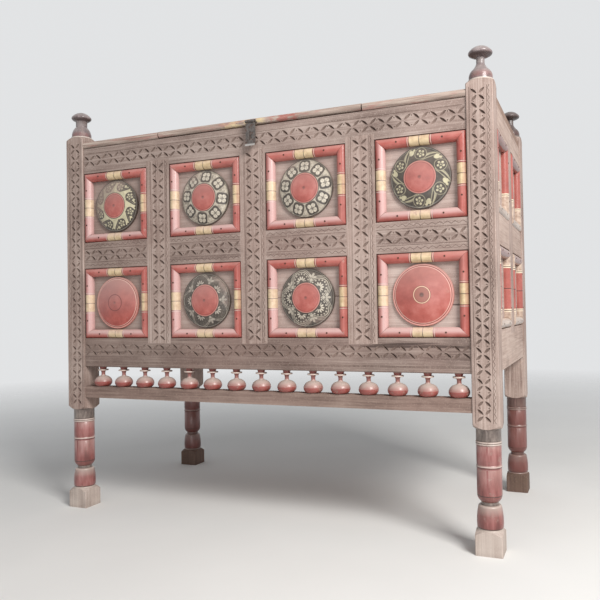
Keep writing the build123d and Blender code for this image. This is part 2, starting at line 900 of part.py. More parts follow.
def post_seats():
    """Mortises and grooves in the posts for everything that ends in them."""
    seats = []
    for wall in wall_place:
        rails = rail_levels(wall)
        pieces = [seat_box(*tenon_box(wall, tenon_v, rails[level])) for level in ("bottom", "top")]
        if wall in wall_columns:
            pieces += field_seats(wall)
            pieces += [seat_box(*mid_tenon_box(wall, u)) for u in column_limits(wall)]
        seats += placed(wall, pieces)
    seats += placed("back", [seat_box(*board) for board in back_board_boxes()])
    seats += placed("front", [seat_box(*stretcher_tenon())])
    return seats


def stretcher_tenon():
    """Tongue through both ends of the stretcher."""
    reach = front_inner_width / 2 + tenon_length
    z = (stretcher_bottom + stretcher_tenon_shoulder, stretcher_top - stretcher_tenon_shoulder)
    return (-reach, reach), tenon_v, z


def chest_nodes():
    """Every node's solids by name."""
    nodes = {}
    seats = post_seats()
    for side, x in (("left", -right_x + post_size / 2), ("right", right_x - post_size / 2)):
        for end, y in (("front", front_y + post_size / 2), ("back", back_y - post_size / 2)):
            nodes[f"post_{end}_{side}"] = [cut(post(side, x, y), seats)]

    staple_wall = Pos(0, -front_y, 0) * staple_rods()
    front = wall_pieces("front", spigot_seats() + [staple_wall])
    nodes["front_mid_rails"] = front["mid_rails"]
    for name, piece in zip(("left", "centre", "right"), front["stiles"]):
        nodes[f"front_stile_{name}"] = [piece]
    for row in opening_levels("front"):
        numbers = range(1, front_columns + 1)
        nodes[f"front_fields_{row}"] = [solid for n in numbers for solid in front["fields"][row, n]]
    for (row, number), bars in front["mouldings"].items():
        nodes[f"front_moulding_{row}_{number}"] = bars
    for row, number, u, z in wall_openings("front"):
        nodes[f"front_disc_{row}_{number}"] = placed("front", [disc(u, z)])
    nails = front["nails"]

    half = front_inner_width / 2
    stretcher = span_box((-half, half), stretcher_v, (stretcher_bottom, stretcher_top))
    stretcher = cut(stretcher + span_box(*stretcher_tenon()), spigot_seats())
    nodes["front_stretcher"] = placed("front", [stretcher])
    nodes["spindle_row"] = placed("front", [place * spindle() for place in spindle_places()])

    rails = {"front_top_rail": front["top_rail"], "front_bottom_rail": front["bottom_rail"]}
    for wall in ("left", "right"):
        side = wall_pieces(wall, [])
        rails[f"{wall}_top_rail"] = side["top_rail"]
        rails[f"{wall}_bottom_rail"] = side["bottom_rail"]
        nodes[f"{wall}_mid_rails"] = side["mid_rails"]
        nodes[f"{wall}_stile"] = side["stiles"]
        nodes[f"{wall}_fields"] = [solid for pieces in side["fields"].values() for solid in pieces]
        nodes[f"{wall}_mouldings"] = [bar for bars in side["mouldings"].values() for bar in bars]
        nails += side["nails"]
    back = back_pieces()
    nodes["back_boards"] = back.pop("back_boards")
    rails.update(back)

    inside_seats = [seat_box(*floor_limits())] + [seat_box(*box) for box in bearer_boxes()]
    for name, pieces in rails.items():
        nodes[name] = [cut(piece, inside_seats) for piece in pieces]
    nodes["moulding_nails"] = nails
    nodes["floor_boards"] = floor_boards()
    nodes["top_bearers"] = [span_box(*box) for box in bearer_boxes()]
    nodes["top_boards_ends"] = end_boards()
    nodes["top_boards_rear"] = rear_boards()
    nodes["cap_strips_fixed"] = fixed_cap_strips()

    strip_x = (lid_x[0] + lid_strip_end_gap, lid_x[1] - lid_strip_end_gap)
    nodes["lid_boards"] = lid_boards()
    nodes["lid_battens"] = lid_battens()
    nodes["lid_cap_strip"] = [cut(cap_strip(strip_x, lid_strip_z), eye_spikes(running_gap))]
    nodes["lid_pivot_pins"] = pivot_pins()
    nodes["hasp_eyes"] = hasp_eyes()
    nodes["hasp_pin"] = [hasp_pin()]
    nodes["hasp"] = [hasp()]
    nodes["hasp_staple"] = [staple_rods()]
    return nodes


os.makedirs("parts", exist_ok=True)
for node_name, node_shapes in chest_nodes().items():
    export_step(solids_of(node_shapes), f"parts/{node_name}.step")
    print(node_name, len(node_shapes))
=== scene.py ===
# %% [markdown]
# # A painted and carved dowry chest
#
# The chest stands on four tall turned legs. Its front is a frame of rails and stiles cut with rows of small
# leaf shaped chips, around eight framed panels that each carry a turned and lacquered disc. The solids come
# from the construction model, which already has the right sizes. This lesson adds what a solid model lacks:
# the carver's chips, the lacquer, the painted ornament, the weathered timber and the light.
#
# We load the construction model first. Every later cell works in its frame: metres, Z up, front to the -Y.

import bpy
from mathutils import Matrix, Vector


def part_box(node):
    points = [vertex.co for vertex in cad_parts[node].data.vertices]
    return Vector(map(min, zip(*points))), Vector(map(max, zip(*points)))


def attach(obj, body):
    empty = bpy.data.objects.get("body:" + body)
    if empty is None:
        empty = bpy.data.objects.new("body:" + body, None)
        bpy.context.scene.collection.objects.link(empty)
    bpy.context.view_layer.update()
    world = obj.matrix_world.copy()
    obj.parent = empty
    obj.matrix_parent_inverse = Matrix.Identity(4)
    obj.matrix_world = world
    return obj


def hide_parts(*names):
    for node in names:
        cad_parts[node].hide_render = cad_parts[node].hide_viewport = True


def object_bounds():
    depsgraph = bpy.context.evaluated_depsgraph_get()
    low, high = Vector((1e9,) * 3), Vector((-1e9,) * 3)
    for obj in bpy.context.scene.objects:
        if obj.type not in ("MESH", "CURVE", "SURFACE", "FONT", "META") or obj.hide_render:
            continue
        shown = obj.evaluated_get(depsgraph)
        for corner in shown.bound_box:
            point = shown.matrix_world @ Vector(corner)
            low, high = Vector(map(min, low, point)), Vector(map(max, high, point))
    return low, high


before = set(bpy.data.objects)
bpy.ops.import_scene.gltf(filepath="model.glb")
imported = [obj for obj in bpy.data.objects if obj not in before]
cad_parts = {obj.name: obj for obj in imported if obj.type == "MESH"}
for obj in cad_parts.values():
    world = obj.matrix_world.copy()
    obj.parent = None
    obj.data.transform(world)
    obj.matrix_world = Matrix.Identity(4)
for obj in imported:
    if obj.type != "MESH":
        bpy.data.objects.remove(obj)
chest_low, chest_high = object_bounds()
chest_size = chest_high - chest_low
print("pieces:", len(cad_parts), "size in metres:", [round(side, 4) for side in chest_size])

# %% [markdown]
# The rest needs Blender itself, its mesh editor and a little arithmetic. The random numbers that make
# handwork uneven come from one seeded generator, so the chest is the same each time the script runs.

# %% Tools
import math
import random

import bmesh
import bpy
from mathutils import Matrix, Vector

hand = random.Random(41)
MM = 0.001


def put(name, data):
    """A new object in the scene."""
    thing = bpy.data.objects.new(name, data)
    bpy.context.scene.collection.objects.link(thing)
    return thing


print("a first random number, the same in each run:", round(random.Random(41).random(), 4))

# %% [markdown]
# The camera stands to the right of the chest's middle, a little under two metres in front of it and just
# below the middle of its height, so the posts stay upright and the right end shows as a narrow strip. A
# camera looks along its own -Z axis. Its three axes can be written down from the compass direction, the
# tilt and the roll, which is easier to check than a set of Euler angles. The shift puts the picture's
# middle where it belongs without tilting the posts.

# %% Camera
CAMERA_PLACE = (1.0157, -2.2109, 0.6833)
yaw = math.radians(-21.85)
tilt = math.radians(1.17)
roll = math.radians(0.99)

ahead = Vector((math.sin(yaw) * math.cos(tilt), math.cos(yaw) * math.cos(tilt), math.sin(tilt)))
level_right = Vector((math.cos(yaw), -math.sin(yaw), 0))
level_down = ahead.cross(level_right)
right = math.cos(roll) * level_right + math.sin(roll) * level_down
down = -math.sin(roll) * level_right + math.cos(roll) * level_down
turned = Matrix((right, -down, -ahead)).transposed().to_4x4()

camera = put("camera", bpy.data.cameras.new("camera"))
camera.matrix_world = Matrix.Translation(CAMERA_PLACE) @ turned
camera.data.sensor_width = 36
camera.data.lens = 39.46
camera.data.shift_x = -0.0566
camera.data.shift_y = -0.0038
bpy.context.scene.camera = camera
print("camera at", [round(c, 3) for c in camera.location])

# %% [markdown]
# Materials are made of nodes. A pattern such as a ring or a row of petals is really a formula: how far is
# this point from the middle of the disc, and in which direction. Writing each sum as a node by hand is
# slow, so `Flow` wraps a node's output and lets us write the formula as plain arithmetic. Each plus or
# times makes one Math node.

# %% Arithmetic with nodes
class Flow:
    """A number that runs between nodes. Sums and products of flows become Math nodes."""

    def __init__(self, tree, socket):
        self.tree = tree
        self.socket = socket

    def op(self, kind, *others, clamp=False):
        node = self.tree.nodes.new("ShaderNodeMath")
        node.operation = kind
        node.use_clamp = clamp
        for entry, source in zip(node.inputs, (self, *others)):
            if isinstance(source, Flow):
                self.tree.links.new(source.socket, entry)
            else:
                entry.default_value = source
        return Flow(self.tree, node.outputs[0])

    def __add__(self, other):
        return self.op("ADD", other)

    def __sub__(self, other):
        return self.op("SUBTRACT", other)

    def __rsub__(self, other):
        return (self * -1.0) + other

    def __mul__(self, other):
        return self.op("MULTIPLY", other)

    def __truediv__(self, other):
        return self.op("DIVIDE", other)

    def size(self):
        return self.op("ABSOLUTE")

    def squared(self):
        return self.op("MULTIPLY", self)

    def root(self):
        return self.op("SQRT")

    def below(self, limit, blur):
        """1 where the flow is under the limit, 0 where it is over, with a soft edge as wide as the blur."""
        return ((self - limit) * (-1.0 / blur)).op("ADD", 0.5, clamp=True)

    def above(self, limit, blur):
        return ((self - limit) * (1.0 / blur)).op("ADD", 0.5, clamp=True)

    def near(self, level, half, blur):
        """1 in a band on both sides of a level."""
        return (self - level).size().below(half, blur)


def either(*masks):
    """The strongest of several masks."""
    first, *others = masks
    for mask in others:
        first = first.op("MAXIMUM", mask)
    return first


print("steps of a flow:", [name for name in vars(Flow) if not name.startswith("_")])

# %% [markdown]
# Every finish below starts the same way: a new material, its Principled shader, and the point being shaded.
# The object coordinates are the row frame's metres, so they stay with the piece when the lid opens.
# `Finish` keeps those together with the few steps that all recipes share. Colours go on in coats, as a
# painter lays them: `laid` holds what is there so far, and each coat covers it where its mask says. `close`
# joins the last coat, the roughness and a relief that catches the light to the shader.

# %% A finish and its common steps
RIGHT = 0
UP = 2


def paint(red, green, blue):
    """A colour of three parts from 0 to 255, turned into linear light."""
    steps = []
    for part in (red, green, blue):
        share = part / 255
        steps.append(share / 12.92 if share <= 0.04045 else ((share + 0.055) / 1.055) ** 2.4)
    return (*steps, 1.0)


class Finish:
    """A material under construction."""

    def __init__(self, name):
        self.material = bpy.data.materials.new(name)
        self.material.use_nodes = True
        self.tree = self.material.node_tree
        self.shader = self.tree.nodes["Principled BSDF"]
        self.point = self.tree.nodes.new("ShaderNodeTexCoord").outputs["Object"]
        parts = self.tree.nodes.new("ShaderNodeSeparateXYZ")
        self.tree.links.new(self.point, parts.inputs[0])
        self.x, self.y, self.z = [Flow(self.tree, output) for output in parts.outputs]

    def noise(self, scales, detail=3.0, rough=0.55, bend=0.0):
        """Noise from 0 to 1, with so many waves to the metre along each axis. Few waves make a grain."""
        stretch = self.tree.nodes.new("ShaderNodeMapping")
        stretch.inputs["Scale"].default_value = scales
        self.tree.links.new(self.point, stretch.inputs["Vector"])
        node = self.tree.nodes.new("ShaderNodeTexNoise")
        self.tree.links.new(stretch.outputs[0], node.inputs["Vector"])
        node.inputs["Scale"].default_value = 1.0
        node.inputs["Detail"].default_value = detail
        node.inputs["Roughness"].default_value = rough
        node.inputs["Distortion"].default_value = bend
        return Flow(self.tree, node.outputs[0])

    def ramp(self, flow, levels, tones):
        """A tone for each of some levels of a flow, blended between them."""
        node = self.tree.nodes.new("ShaderNodeValToRGB")
        marks = node.color_ramp.elements
        while len(marks) < len(tones):
            marks.new(0.5)
        for mark, level, tone in zip(marks, levels, tones):
            mark.position = level
            mark.color = paint(*tone)
        self.tree.links.new(flow.socket, node.inputs[0])
        return node.outputs[0]

    def over(self, mask, lower, upper):
        """The upper colour where the mask is 1, the lower one where it is 0."""
        node = self.tree.nodes.new("ShaderNodeMix")
        node.data_type = "RGBA"
        if isinstance(mask, Flow):
            self.tree.links.new(mask.socket, node.inputs[0])
        else:
            node.inputs[0].default_value = mask
        for entry, colour in ((node.inputs[6], lower), (node.inputs[7], upper)):
            if isinstance(colour, tuple):
                entry.default_value = paint(*colour)
            else:
                self.tree.links.new(colour, entry)
        return node.outputs[2]

    def hollows(self, reach):
        """1 in the open and towards 0 in corners and cuts."""
        node = self.tree.nodes.new("ShaderNodeAmbientOcclusion")
        node.samples = 6
        node.inputs["Distance"].default_value = reach
        return Flow(self.tree, node.outputs["AO"])

    def facing(self, axis):
        """1 on surfaces that look along an axis, 0 on those square to it or turned away."""
        parts = self.tree.nodes.new("ShaderNodeSeparateXYZ")
        geometry = self.tree.nodes.new("ShaderNodeNewGeometry")
        self.tree.links.new(geometry.outputs["Normal"], parts.inputs[0])
        return Flow(self.tree, parts.outputs[axis]).op("MAXIMUM", 0.0)

    def coat(self, mask, colour):
        """Lay one more colour over the coats so far, as far as the mask lets it."""
        self.laid = self.over(mask, self.laid, colour)

    def close(self, roughness, relief, depth):
        """Join the coats, the roughness and the relief, whose height is in shares of a depth in metres."""
        bump = self.tree.nodes.new("ShaderNodeBump")
        bump.inputs["Strength"].default_value = 1.0
        bump.inputs["Distance"].default_value = depth
        self.tree.links.new(relief.socket, bump.inputs["Height"])
        self.tree.links.new(bump.outputs[0], self.shader.inputs["Normal"])
        self.tree.links.new(roughness.socket, self.shader.inputs["Roughness"])
        self.tree.links.new(self.laid, self.shader.inputs["Base Color"])
        return self.material


print("mid grey in linear light:", [round(part, 3) for part in paint(128, 128, 128)])

# %% [markdown]
# The frame, the panels and the boards are an old hardwood that was never varnished. Sun and dust have
# bleached it to a warm grey-brown, its soft fibres have worn away between the hard ones, and every corner
# is darker with dirt and a painted shade. One recipe covers all of it, with the grain turned along each
# piece: long thin noise for the fibres, broad noise for pinker patches and dark stains, fine noise for pale
# specks, and a few dark cracks that follow the grain. Some pieces also carry a painted shade that darkens
# them towards the left.

# %% Weathered timber
GRAIN_SCALES = {"x": (1.6, 60, 60), "y": (60, 1.6, 60), "z": (60, 60, 1.6)}
PINK_TINGE = (172, 140, 130)
STAIN = (86, 68, 62)
LEFT_SHADE = (108, 88, 78)
CRACK = (62, 48, 44)
CORNER_DIRT_AND_SHADE = (66, 50, 46)
FIBRES_TO_A_BAND = 4.2


def timber(name, grain, tones, corner_dirt_and_shade=0.36, shade_left=0.0):
    """Old bare wood. The tones are the dark, the middle and the light one of its fibres."""
    wood = Finish(name)
    along = GRAIN_SCALES[grain]
    fibres = wood.noise([FIBRES_TO_A_BAND * wave for wave in along], detail=5, rough=0.6, bend=0.3)
    bands = wood.noise(along, detail=4, rough=0.55, bend=0.5)
    patches = wood.noise((7, 7, 9), detail=4, rough=0.6)
    pink = wood.noise((3.1, 3.1, 3.7), detail=2)
    stains = wood.noise((5.5, 5.5, 7), detail=5, rough=0.7)
    specks = wood.noise((300, 300, 300), detail=2)
    split = wood.noise([0.75 * wave for wave in along], detail=3, rough=0.5, bend=0.25).above(0.715, 0.02)
    tone = fibres * 0.42 + bands * 0.3 + patches * 0.28
    wood.laid = wood.ramp(tone, (0.33, 0.5, 0.68), tones)
    wood.coat(pink.above(0.55, 0.3) * 0.25, PINK_TINGE)
    wood.coat(stains.above(0.6, 0.14) * 0.3, STAIN)
    wood.coat(specks.above(0.62, 0.08) * 0.4, tones[-1])
    # Painted shade: the wood darkens towards the left, where less light falls.
    if shade_left:
        wood.coat(wood.x.below(-0.1, 1.2) * shade_left, LEFT_SHADE)
    wood.coat(split * 0.7, CRACK)
    # Darker where the ambient occlusion finds corners and cuts: dirt and a painted shade together.
    wood.coat(wood.hollows(0.016).below(0.72, 0.9) * corner_dirt_and_shade, CORNER_DIRT_AND_SHADE)
    wood.shader.inputs["Specular IOR Level"].default_value = 0.3
    return wood.close(fibres * 0.16 + 0.66, fibres * 0.6 + bands * 0.5 - split * 1.2, 0.0007)


frame_tones = ((104, 85, 78), (162, 143, 134), (204, 187, 177))
stile_tones = ((112, 92, 84), (172, 151, 141), (211, 193, 183))
bottom_rail_tones = ((84, 67, 61), (136, 118, 110), (180, 162, 152))
stretcher_tones = ((88, 69, 62), (138, 117, 107), (178, 157, 145))
side_rail_tones = ((138, 114, 104), (190, 168, 156), (218, 200, 188))
field_tones = ((156, 132, 124), (192, 172, 163), (218, 202, 192))
board_tones = ((98, 78, 68), (150, 124, 110), (182, 158, 142))
# The cuts get darker tones than the faces around them: dirt and a painted shade inside the chips.
chip_tones_dirt_and_shade = ((76, 60, 54), (118, 100, 91), (164, 145, 134))

rail_wood = timber("weathered_rail", "x", frame_tones, shade_left=0.2)
stile_wood = timber("weathered_stile", "z", stile_tones, shade_left=0.15)
bottom_rail_wood = timber("weathered_bottom_rail", "x", bottom_rail_tones, shade_left=0.3)
stretcher_wood = timber("weathered_stretcher", "x", stretcher_tones)
side_rail_wood = timber("weathered_side_rail", "y", side_rail_tones)
field_wood = timber("bare_panel", "x", field_tones, shade_left=0.5)
side_field_wood = timber("bare_side_panel", "y", field_tones)
long_board_wood = timber("long_boards", "x", board_tones)
cross_board_wood = timber("cross_boards", "y", board_tones)
back_board_wood = timber("back_boards_finish", "z", board_tones)
chip_wood = timber("inside_of_cuts", "z", chip_tones_dirt_and_shade, corner_dirt_and_shade=0.45)
print("fibres of a rail, waves to the metre:", [round(FIBRES_TO_A_BAND * wave) for wave in GRAIN_SCALES["x"]])

# %% [markdown]
# A node keeps its place and shape and only changes its material. A finish goes into the first slot of its
# mesh.

# %% Dress a node
def dress(material, *names):
    for name in names:
        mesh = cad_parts[name].data
        mesh.materials.clear()
        mesh.materials.append(material)
    print(material.name, "on", ", ".join(names))


dress(stretcher_wood, "front_stretcher")
dress(side_rail_wood, "left_top_rail", "left_bottom_rail", "left_mid_rails")
dress(side_rail_wood, "right_top_rail", "right_bottom_rail", "right_mid_rails")
dress(stile_wood, "left_stile", "right_stile")
dress(field_wood, "front_fields_lower", "front_fields_upper")
dress(side_field_wood, "left_fields", "right_fields")
dress(long_board_wood, "lid_boards", "top_boards_rear", "back_top_rail", "back_bottom_rail")
dress(cross_board_wood, "floor_boards", "top_boards_ends", "top_bearers", "lid_battens")
dress(back_board_wood, "back_boards")

# %% [markdown]
# The carver worked the front with one V shaped chisel. Each chip is a leaf: nothing at its tips, widest and
# deepest in the middle. Four leaves around a point make a flower, and small nicks fill the spaces. The two
# leaves that fall to the right are cut deep and look dark, the two that rise to the right are shallow and
# stay pale. In Blender a chip can be a closed wedge that a Boolean subtracts from the timber, just as the
# chisel did. We copy each carved node, weld the copy into a closed body, and let the new piece stand for
# the node.
#
# `groove` builds one wedge along a path. The width and depth change from station to station, and a station
# with no width closes to a point. The wedge stands a little over the surface, so that the cut is clean, and
# is wider there to match. `place` turns the flat drawing, across, up and outwards, into the chest's frame.

# %% One cut of the chisel
CUT_LIFT = 0.6 * MM


def groove(work, place, path, half_widths, depths):
    stations = []
    for index, (across, up) in enumerate(path):
        before = Vector(path[max(index - 1, 0)])
        after = Vector(path[min(index + 1, len(path) - 1)])
        run = (after - before).normalized()
        side = Vector((-run.y, run.x))
        half = half_widths[index]
        if half == 0:
            stations.append([work.verts.new(place @ Vector((across, up, CUT_LIFT)))])
            continue
        spread = half * (1 + CUT_LIFT / depths[index])
        left = Vector((across, up)) + side * spread
        other = Vector((across, up)) - side * spread
        stations.append([
            work.verts.new(place @ Vector((left.x, left.y, CUT_LIFT))),
            work.verts.new(place @ Vector((across, up, -depths[index]))),
            work.verts.new(place @ Vector((other.x, other.y, CUT_LIFT))),
        ])
    for first, second in zip(stations, stations[1:]):
        for edge in range(3):
            corners = [first[edge % len(first)], first[(edge + 1) % 3 % len(first)]]
            corners += [second[(edge + 1) % 3 % len(second)], second[edge % len(second)]]
            ring = list(dict.fromkeys(corners))
            if len(ring) > 2:
                work.faces.new(ring)
    for end in (stations[0], stations[-1]):
        if len(end) == 3:
            work.faces.new(end)


print("a wedge stands over the surface by, mm:", CUT_LIFT / MM)

# %% [markdown]
# A leaf is a groove whose width swells and dies away again. A flower and a nick are leaves with sizes of
# their own. Each size has a small range, from which the seeded generator picks, because no two cuts of a
# hand are the same.

# %% Leaves, flowers and nicks
LEAF_STATIONS = (-1, -0.72, -0.36, 0, 0.36, 0.72, 1)
LEAF_HALF_WIDTH = (3.6, 4.3)
LEAF_SLACK = (-1.6, 0.6)
LEAF_TURN = 0.06
FALLING_DEPTH = (5.2, 6.2)
RISING_DEPTH = (2.2, 2.9)
FLOWER_HEART = 3.0 * MM
NICK_LENGTH = (5, 7)
NICK_HALF_WIDTH = (1.5, 2.2)
NICK_DEPTH = 1.6 * MM


def by_hand(sizes):
    """One size in metres from a range in millimetres."""
    return hand.uniform(*sizes) * MM


def leaf(work, place, middle, angle, length, half_width, depth):
    """A chip shaped like a leaf, straight, with both tips at the surface."""
    run = Vector((math.cos(angle), math.sin(angle)))
    path = [tuple(Vector(middle) + run * length / 2 * share) for share in LEAF_STATIONS]
    swell = [1 - share * share for share in LEAF_STATIONS]
    groove(work, place, path, [half_width * s for s in swell], [depth * s ** 0.7 for s in swell])


def flower(work, place, middle, reach, slope):
    """Four leaves around a point. Those in odd quarters fall to the right, the others rise."""
    for quarter in range(4):
        falling = quarter % 2 == 1
        steep = math.pi - slope if falling else slope
        angle = steep + math.pi * (quarter // 2) + hand.uniform(-LEAF_TURN, LEAF_TURN)
        length = reach - FLOWER_HEART + by_hand(LEAF_SLACK)
        out = FLOWER_HEART + length / 2
        centre = (middle[0] + out * math.cos(angle), middle[1] + out * math.sin(angle))
        depth = by_hand(FALLING_DEPTH if falling else RISING_DEPTH)
        leaf(work, place, centre, angle, length, by_hand(LEAF_HALF_WIDTH), depth)


def nick(work, place, middle, angle):
    leaf(work, place, middle, angle, by_hand(NICK_LENGTH), by_hand(NICK_HALF_WIDTH), NICK_DEPTH)


print("deepest cut in mm:", max(FALLING_DEPTH), "widest:", 2 * max(LEAF_HALF_WIDTH))

# %% [markdown]
# Beside the flowers run scratched lines, and on the shorter rails a zigzag. They are grooves too, only long
# and shallow. `scratch` divides the way from start to end and moves each point aside, by a little wander
# for a line and by turns to the left and the right for a zigzag. Without the wander they would look machine
# made.

# %% Lines, zigzags and rows of flowers
SCRATCH_HALF_WIDTH = 0.9 * MM
LINE_DEPTH = 0.7 * MM
LINE_STEP = 0.045
ZIGZAG_DEPTH = 0.9 * MM
NICK_OFFSET = 13 * MM
NICK_TURN = 0.5
WANDER_MM = {"line": 0.35, "zigzag": 0.5, "flower": 0.8, "nick": 1.0}


def wander(kind):
    return hand.uniform(-WANDER_MM[kind], WANDER_MM[kind]) * MM


def scratch(work, place, start, end, count, offset_at, depth):
    """A groove of even width, with each of its points moved aside by what offset_at says."""
    span = Vector(end) - Vector(start)
    side = Vector((-span.y, span.x)).normalized()
    path = []
    for step in range(count + 1):
        path.append(tuple(Vector(start) + span * step / count + side * offset_at(step)))
    groove(work, place, path, [SCRATCH_HALF_WIDTH] * len(path), [depth] * len(path))


def line(work, place, start, end):
    count = max(2, int((Vector(end) - Vector(start)).length / LINE_STEP))
    scratch(work, place, start, end, count, lambda step: wander("line"), LINE_DEPTH)


def zigzag(work, place, start, end, swing, step_length):
    def offset_at(step):
        return swing * (1 if step % 2 else -1) + wander("zigzag")

    count = int((Vector(end) - Vector(start)).length / step_length)
    scratch(work, place, start, end, count, offset_at, ZIGZAG_DEPTH)


def flower_row(work, place, start, end, count, reach=31 * MM, slope=math.radians(39)):
    """Flowers evenly along a line, with a nick on each side between neighbours."""
    span = Vector(end) - Vector(start)
    side = Vector((-span.y, span.x)).normalized()
    for index in range(count):
        middle = Vector(start) + span * (index + 0.5) / count
        flower(work, place, middle + Vector((wander("flower"), wander("flower"))), reach, slope)
        between = Vector(start) + span * (index + 1) / count
        if index < count - 1:
            for offset in (-NICK_OFFSET, NICK_OFFSET):
                spot = between + side * (offset + wander("nick"))
                nick(work, place, spot, math.atan2(side.y, side.x) + hand.uniform(-NICK_TURN, NICK_TURN))


print("wander in mm:", WANDER_MM)

# %% [markdown]
# `carve` does the joinery for one timber. It welds a copy of the node, because the imported mesh is split
# along its sharp edges, and asks the Boolean for an exact difference. The cutter carries a darker material
# as its only one, and the Boolean passes it on to the faces that it cuts, so that the chips show the dirt
# that sits in them and a painted shade that darkens the cuts.
#
# Two things can go wrong. A long flat face that is shaded smooth runs off into dark wedges at the tips of
# the chips, so faces square to an axis are shaded flat. And where two cuts cross inside one cutter, the
# Boolean can lose the whole timber without an error. So the script compares the volumes and stops if more
# than a tenth is gone.

# %% Carve one node
SHARP_EDGE = math.radians(28)
SQUARE_TO_AXIS = 0.9999
LEAST_LEFT_OVER = 0.9


def closed_copy(node, name):
    work = bmesh.new()
    work.from_mesh(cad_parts[node].data)
    bmesh.ops.remove_doubles(work, verts=work.verts, dist=1e-6)
    mesh = bpy.data.meshes.new(name)
    work.to_mesh(mesh)
    work.free()
    return put(name, mesh)


def volume(mesh):
    work = bmesh.new()
    work.from_mesh(mesh)
    total = abs(work.calc_volume())
    work.free()
    return total


def shade_by_form(mesh):
    """Smooth shading for what is turned or cut, flat shading for what is square to an axis."""
    mesh.shade_smooth()
    mesh.set_sharp_from_angle(angle=SHARP_EDGE)
    for face in mesh.polygons:
        face.use_smooth = max(abs(part) for part in face.normal) < SQUARE_TO_AXIS


def stand_for(piece, node):
    """Let a new piece take the place of its node on the chest."""
    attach(piece, "chest")
    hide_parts(node)


def carve(node, name, body_finish, draw):
    piece = closed_copy(node, name)
    whole = volume(piece.data)
    piece.data.materials.clear()
    piece.data.materials.append(body_finish)
    work = bmesh.new()
    draw(work)
    bmesh.ops.recalc_face_normals(work, faces=work.faces)
    chips = bpy.data.meshes.new(name + "_chips")
    work.to_mesh(chips)
    work.free()
    chips.materials.append(chip_wood)
    cutter = put(name + "_chips", chips)
    cutting = piece.modifiers.new("chisel", "BOOLEAN")
    cutting.operation = "DIFFERENCE"
    cutting.solver = "EXACT"
    cutting.material_mode = "TRANSFER"
    cutting.object = cutter
    ready = piece.evaluated_get(bpy.context.evaluated_depsgraph_get())
    carved = bpy.data.meshes.new_from_object(ready)
    piece.modifiers.clear()
    piece.data = carved
    bpy.data.objects.remove(cutter)
    shade_by_form(carved)
    stand_for(piece, node)
    left_over = volume(carved) / whole
    print(name, "faces:", len(carved.polygons), "timber left:", round(left_over, 4))
    if not LEAST_LEFT_OVER < left_over < 1:
        raise ValueError(name + ": two cuts cross, and the Boolean lost the timber")
    return piece


# %% [markdown]
# Each face that is carved lies a few millimetres behind the posts' outer faces. The front faces look
# towards -Y, so across is +X, up is +Z and outwards is -Y.

# %% Where the front faces lie
def front_face(node):
    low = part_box(node)[0]
    return Matrix(((1, 0, 0, 0), (0, 0, -1, low.y), (0, 1, 0, 0), (0, 0, 0, 1)))


inner_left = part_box("post_front_left")[1].x
inner_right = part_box("post_front_right")[0].x
print("front between the posts, mm:", round((inner_right - inner_left) / MM))

# %% [markdown]
# The long rails have twenty six flowers. The top rail's row lies along its middle, under a line. The bottom
# rail's row sits higher, above a plain lower edge that is marked off by a double line.

# %% Long rails
LONG_RAIL_FLOWERS = 26
TOP_LINE_RISE = 25 * MM
BOTTOM_ROW_DROP = 40 * MM
BOTTOM_LINE_RISE = 19 * MM
DOUBLE_LINE_GAP = 3.5 * MM

top_low, top_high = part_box("front_top_rail")
top_middle = (top_low.z + top_high.z) / 2
bottom_low, bottom_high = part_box("front_bottom_rail")
bottom_row = bottom_high.z - BOTTOM_ROW_DROP


def draw_top_rail(work):
    place = front_face("front_top_rail")
    flower_row(work, place, (inner_left, top_middle), (inner_right, top_middle), LONG_RAIL_FLOWERS)
    level = top_middle + TOP_LINE_RISE
    line(work, place, (inner_left + 10 * MM, level), (inner_right - 10 * MM, level))


def draw_bottom_rail(work):
    place = front_face("front_bottom_rail")
    flower_row(work, place, (inner_left, bottom_row), (inner_right, bottom_row), LONG_RAIL_FLOWERS)
    for drop in (0, DOUBLE_LINE_GAP):
        level = bottom_low.z + BOTTOM_LINE_RISE - drop
        line(work, place, (inner_left + 5 * MM, level), (inner_right - 5 * MM, level))


carve("front_top_rail", "carved_top_rail", rail_wood, draw_top_rail)
carve("front_bottom_rail", "carved_bottom_rail", bottom_rail_wood, draw_bottom_rail)

# %% [markdown]
# The stiles stand in front of the rails and run over both of them. Twelve flowers climb each one between
# two lines, with a wavy scratch outside the right one. The lines keep clear of the leaf tips, so that no
# two cuts cross.

# %% Stiles
STILE_FLOWERS = 12
STILE_LINE = 29 * MM
STILE_ZIGZAG = 35 * MM


def draw_stile(node):
    box_low, box_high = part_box(node)
    low, high = box_low.z, box_high.z
    middle = (box_low.x + box_high.x) / 2

    def draw(work):
        place = front_face(node)
        flower_row(work, place, (middle, low + 4 * MM), (middle, high - 4 * MM), STILE_FLOWERS)
        for offset in (-STILE_LINE, STILE_LINE):
            line(work, place, (middle + offset, low + 3 * MM), (middle + offset, high - 3 * MM))
        edge = middle + STILE_ZIGZAG
        zigzag(work, place, (edge, low + 6 * MM), (edge, high - 6 * MM), swing=2.2 * MM, step_length=11 * MM)

    return draw


for side in ("left", "centre", "right"):
    carve(f"front_stile_{side}", f"carved_stile_{side}", stile_wood, draw_stile(f"front_stile_{side}"))

# %% [markdown]
# The four short rails lie between posts and stiles. Their ends run into the joints, so the carving keeps to
# the openings between them: five flowers, a line above and below, and a zigzag along both edges.

# %% Short rails
SHORT_RAIL_FLOWERS = 5
SHORT_RAIL_LINE = 24 * MM
SHORT_RAIL_ZIGZAG = 34 * MM

mid_low, mid_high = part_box("front_mid_rails")
mid_middle = (mid_low.z + mid_high.z) / 2
stile_edges = [inner_left]
for side in ("left", "centre", "right"):
    stile_low, stile_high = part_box(f"front_stile_{side}")
    stile_edges += [stile_low.x, stile_high.x]
stile_edges.append(inner_right)
columns = list(zip(stile_edges[::2], stile_edges[1::2]))
print("panel columns, mm:", [(round(a / MM), round(b / MM)) for a, b in columns])


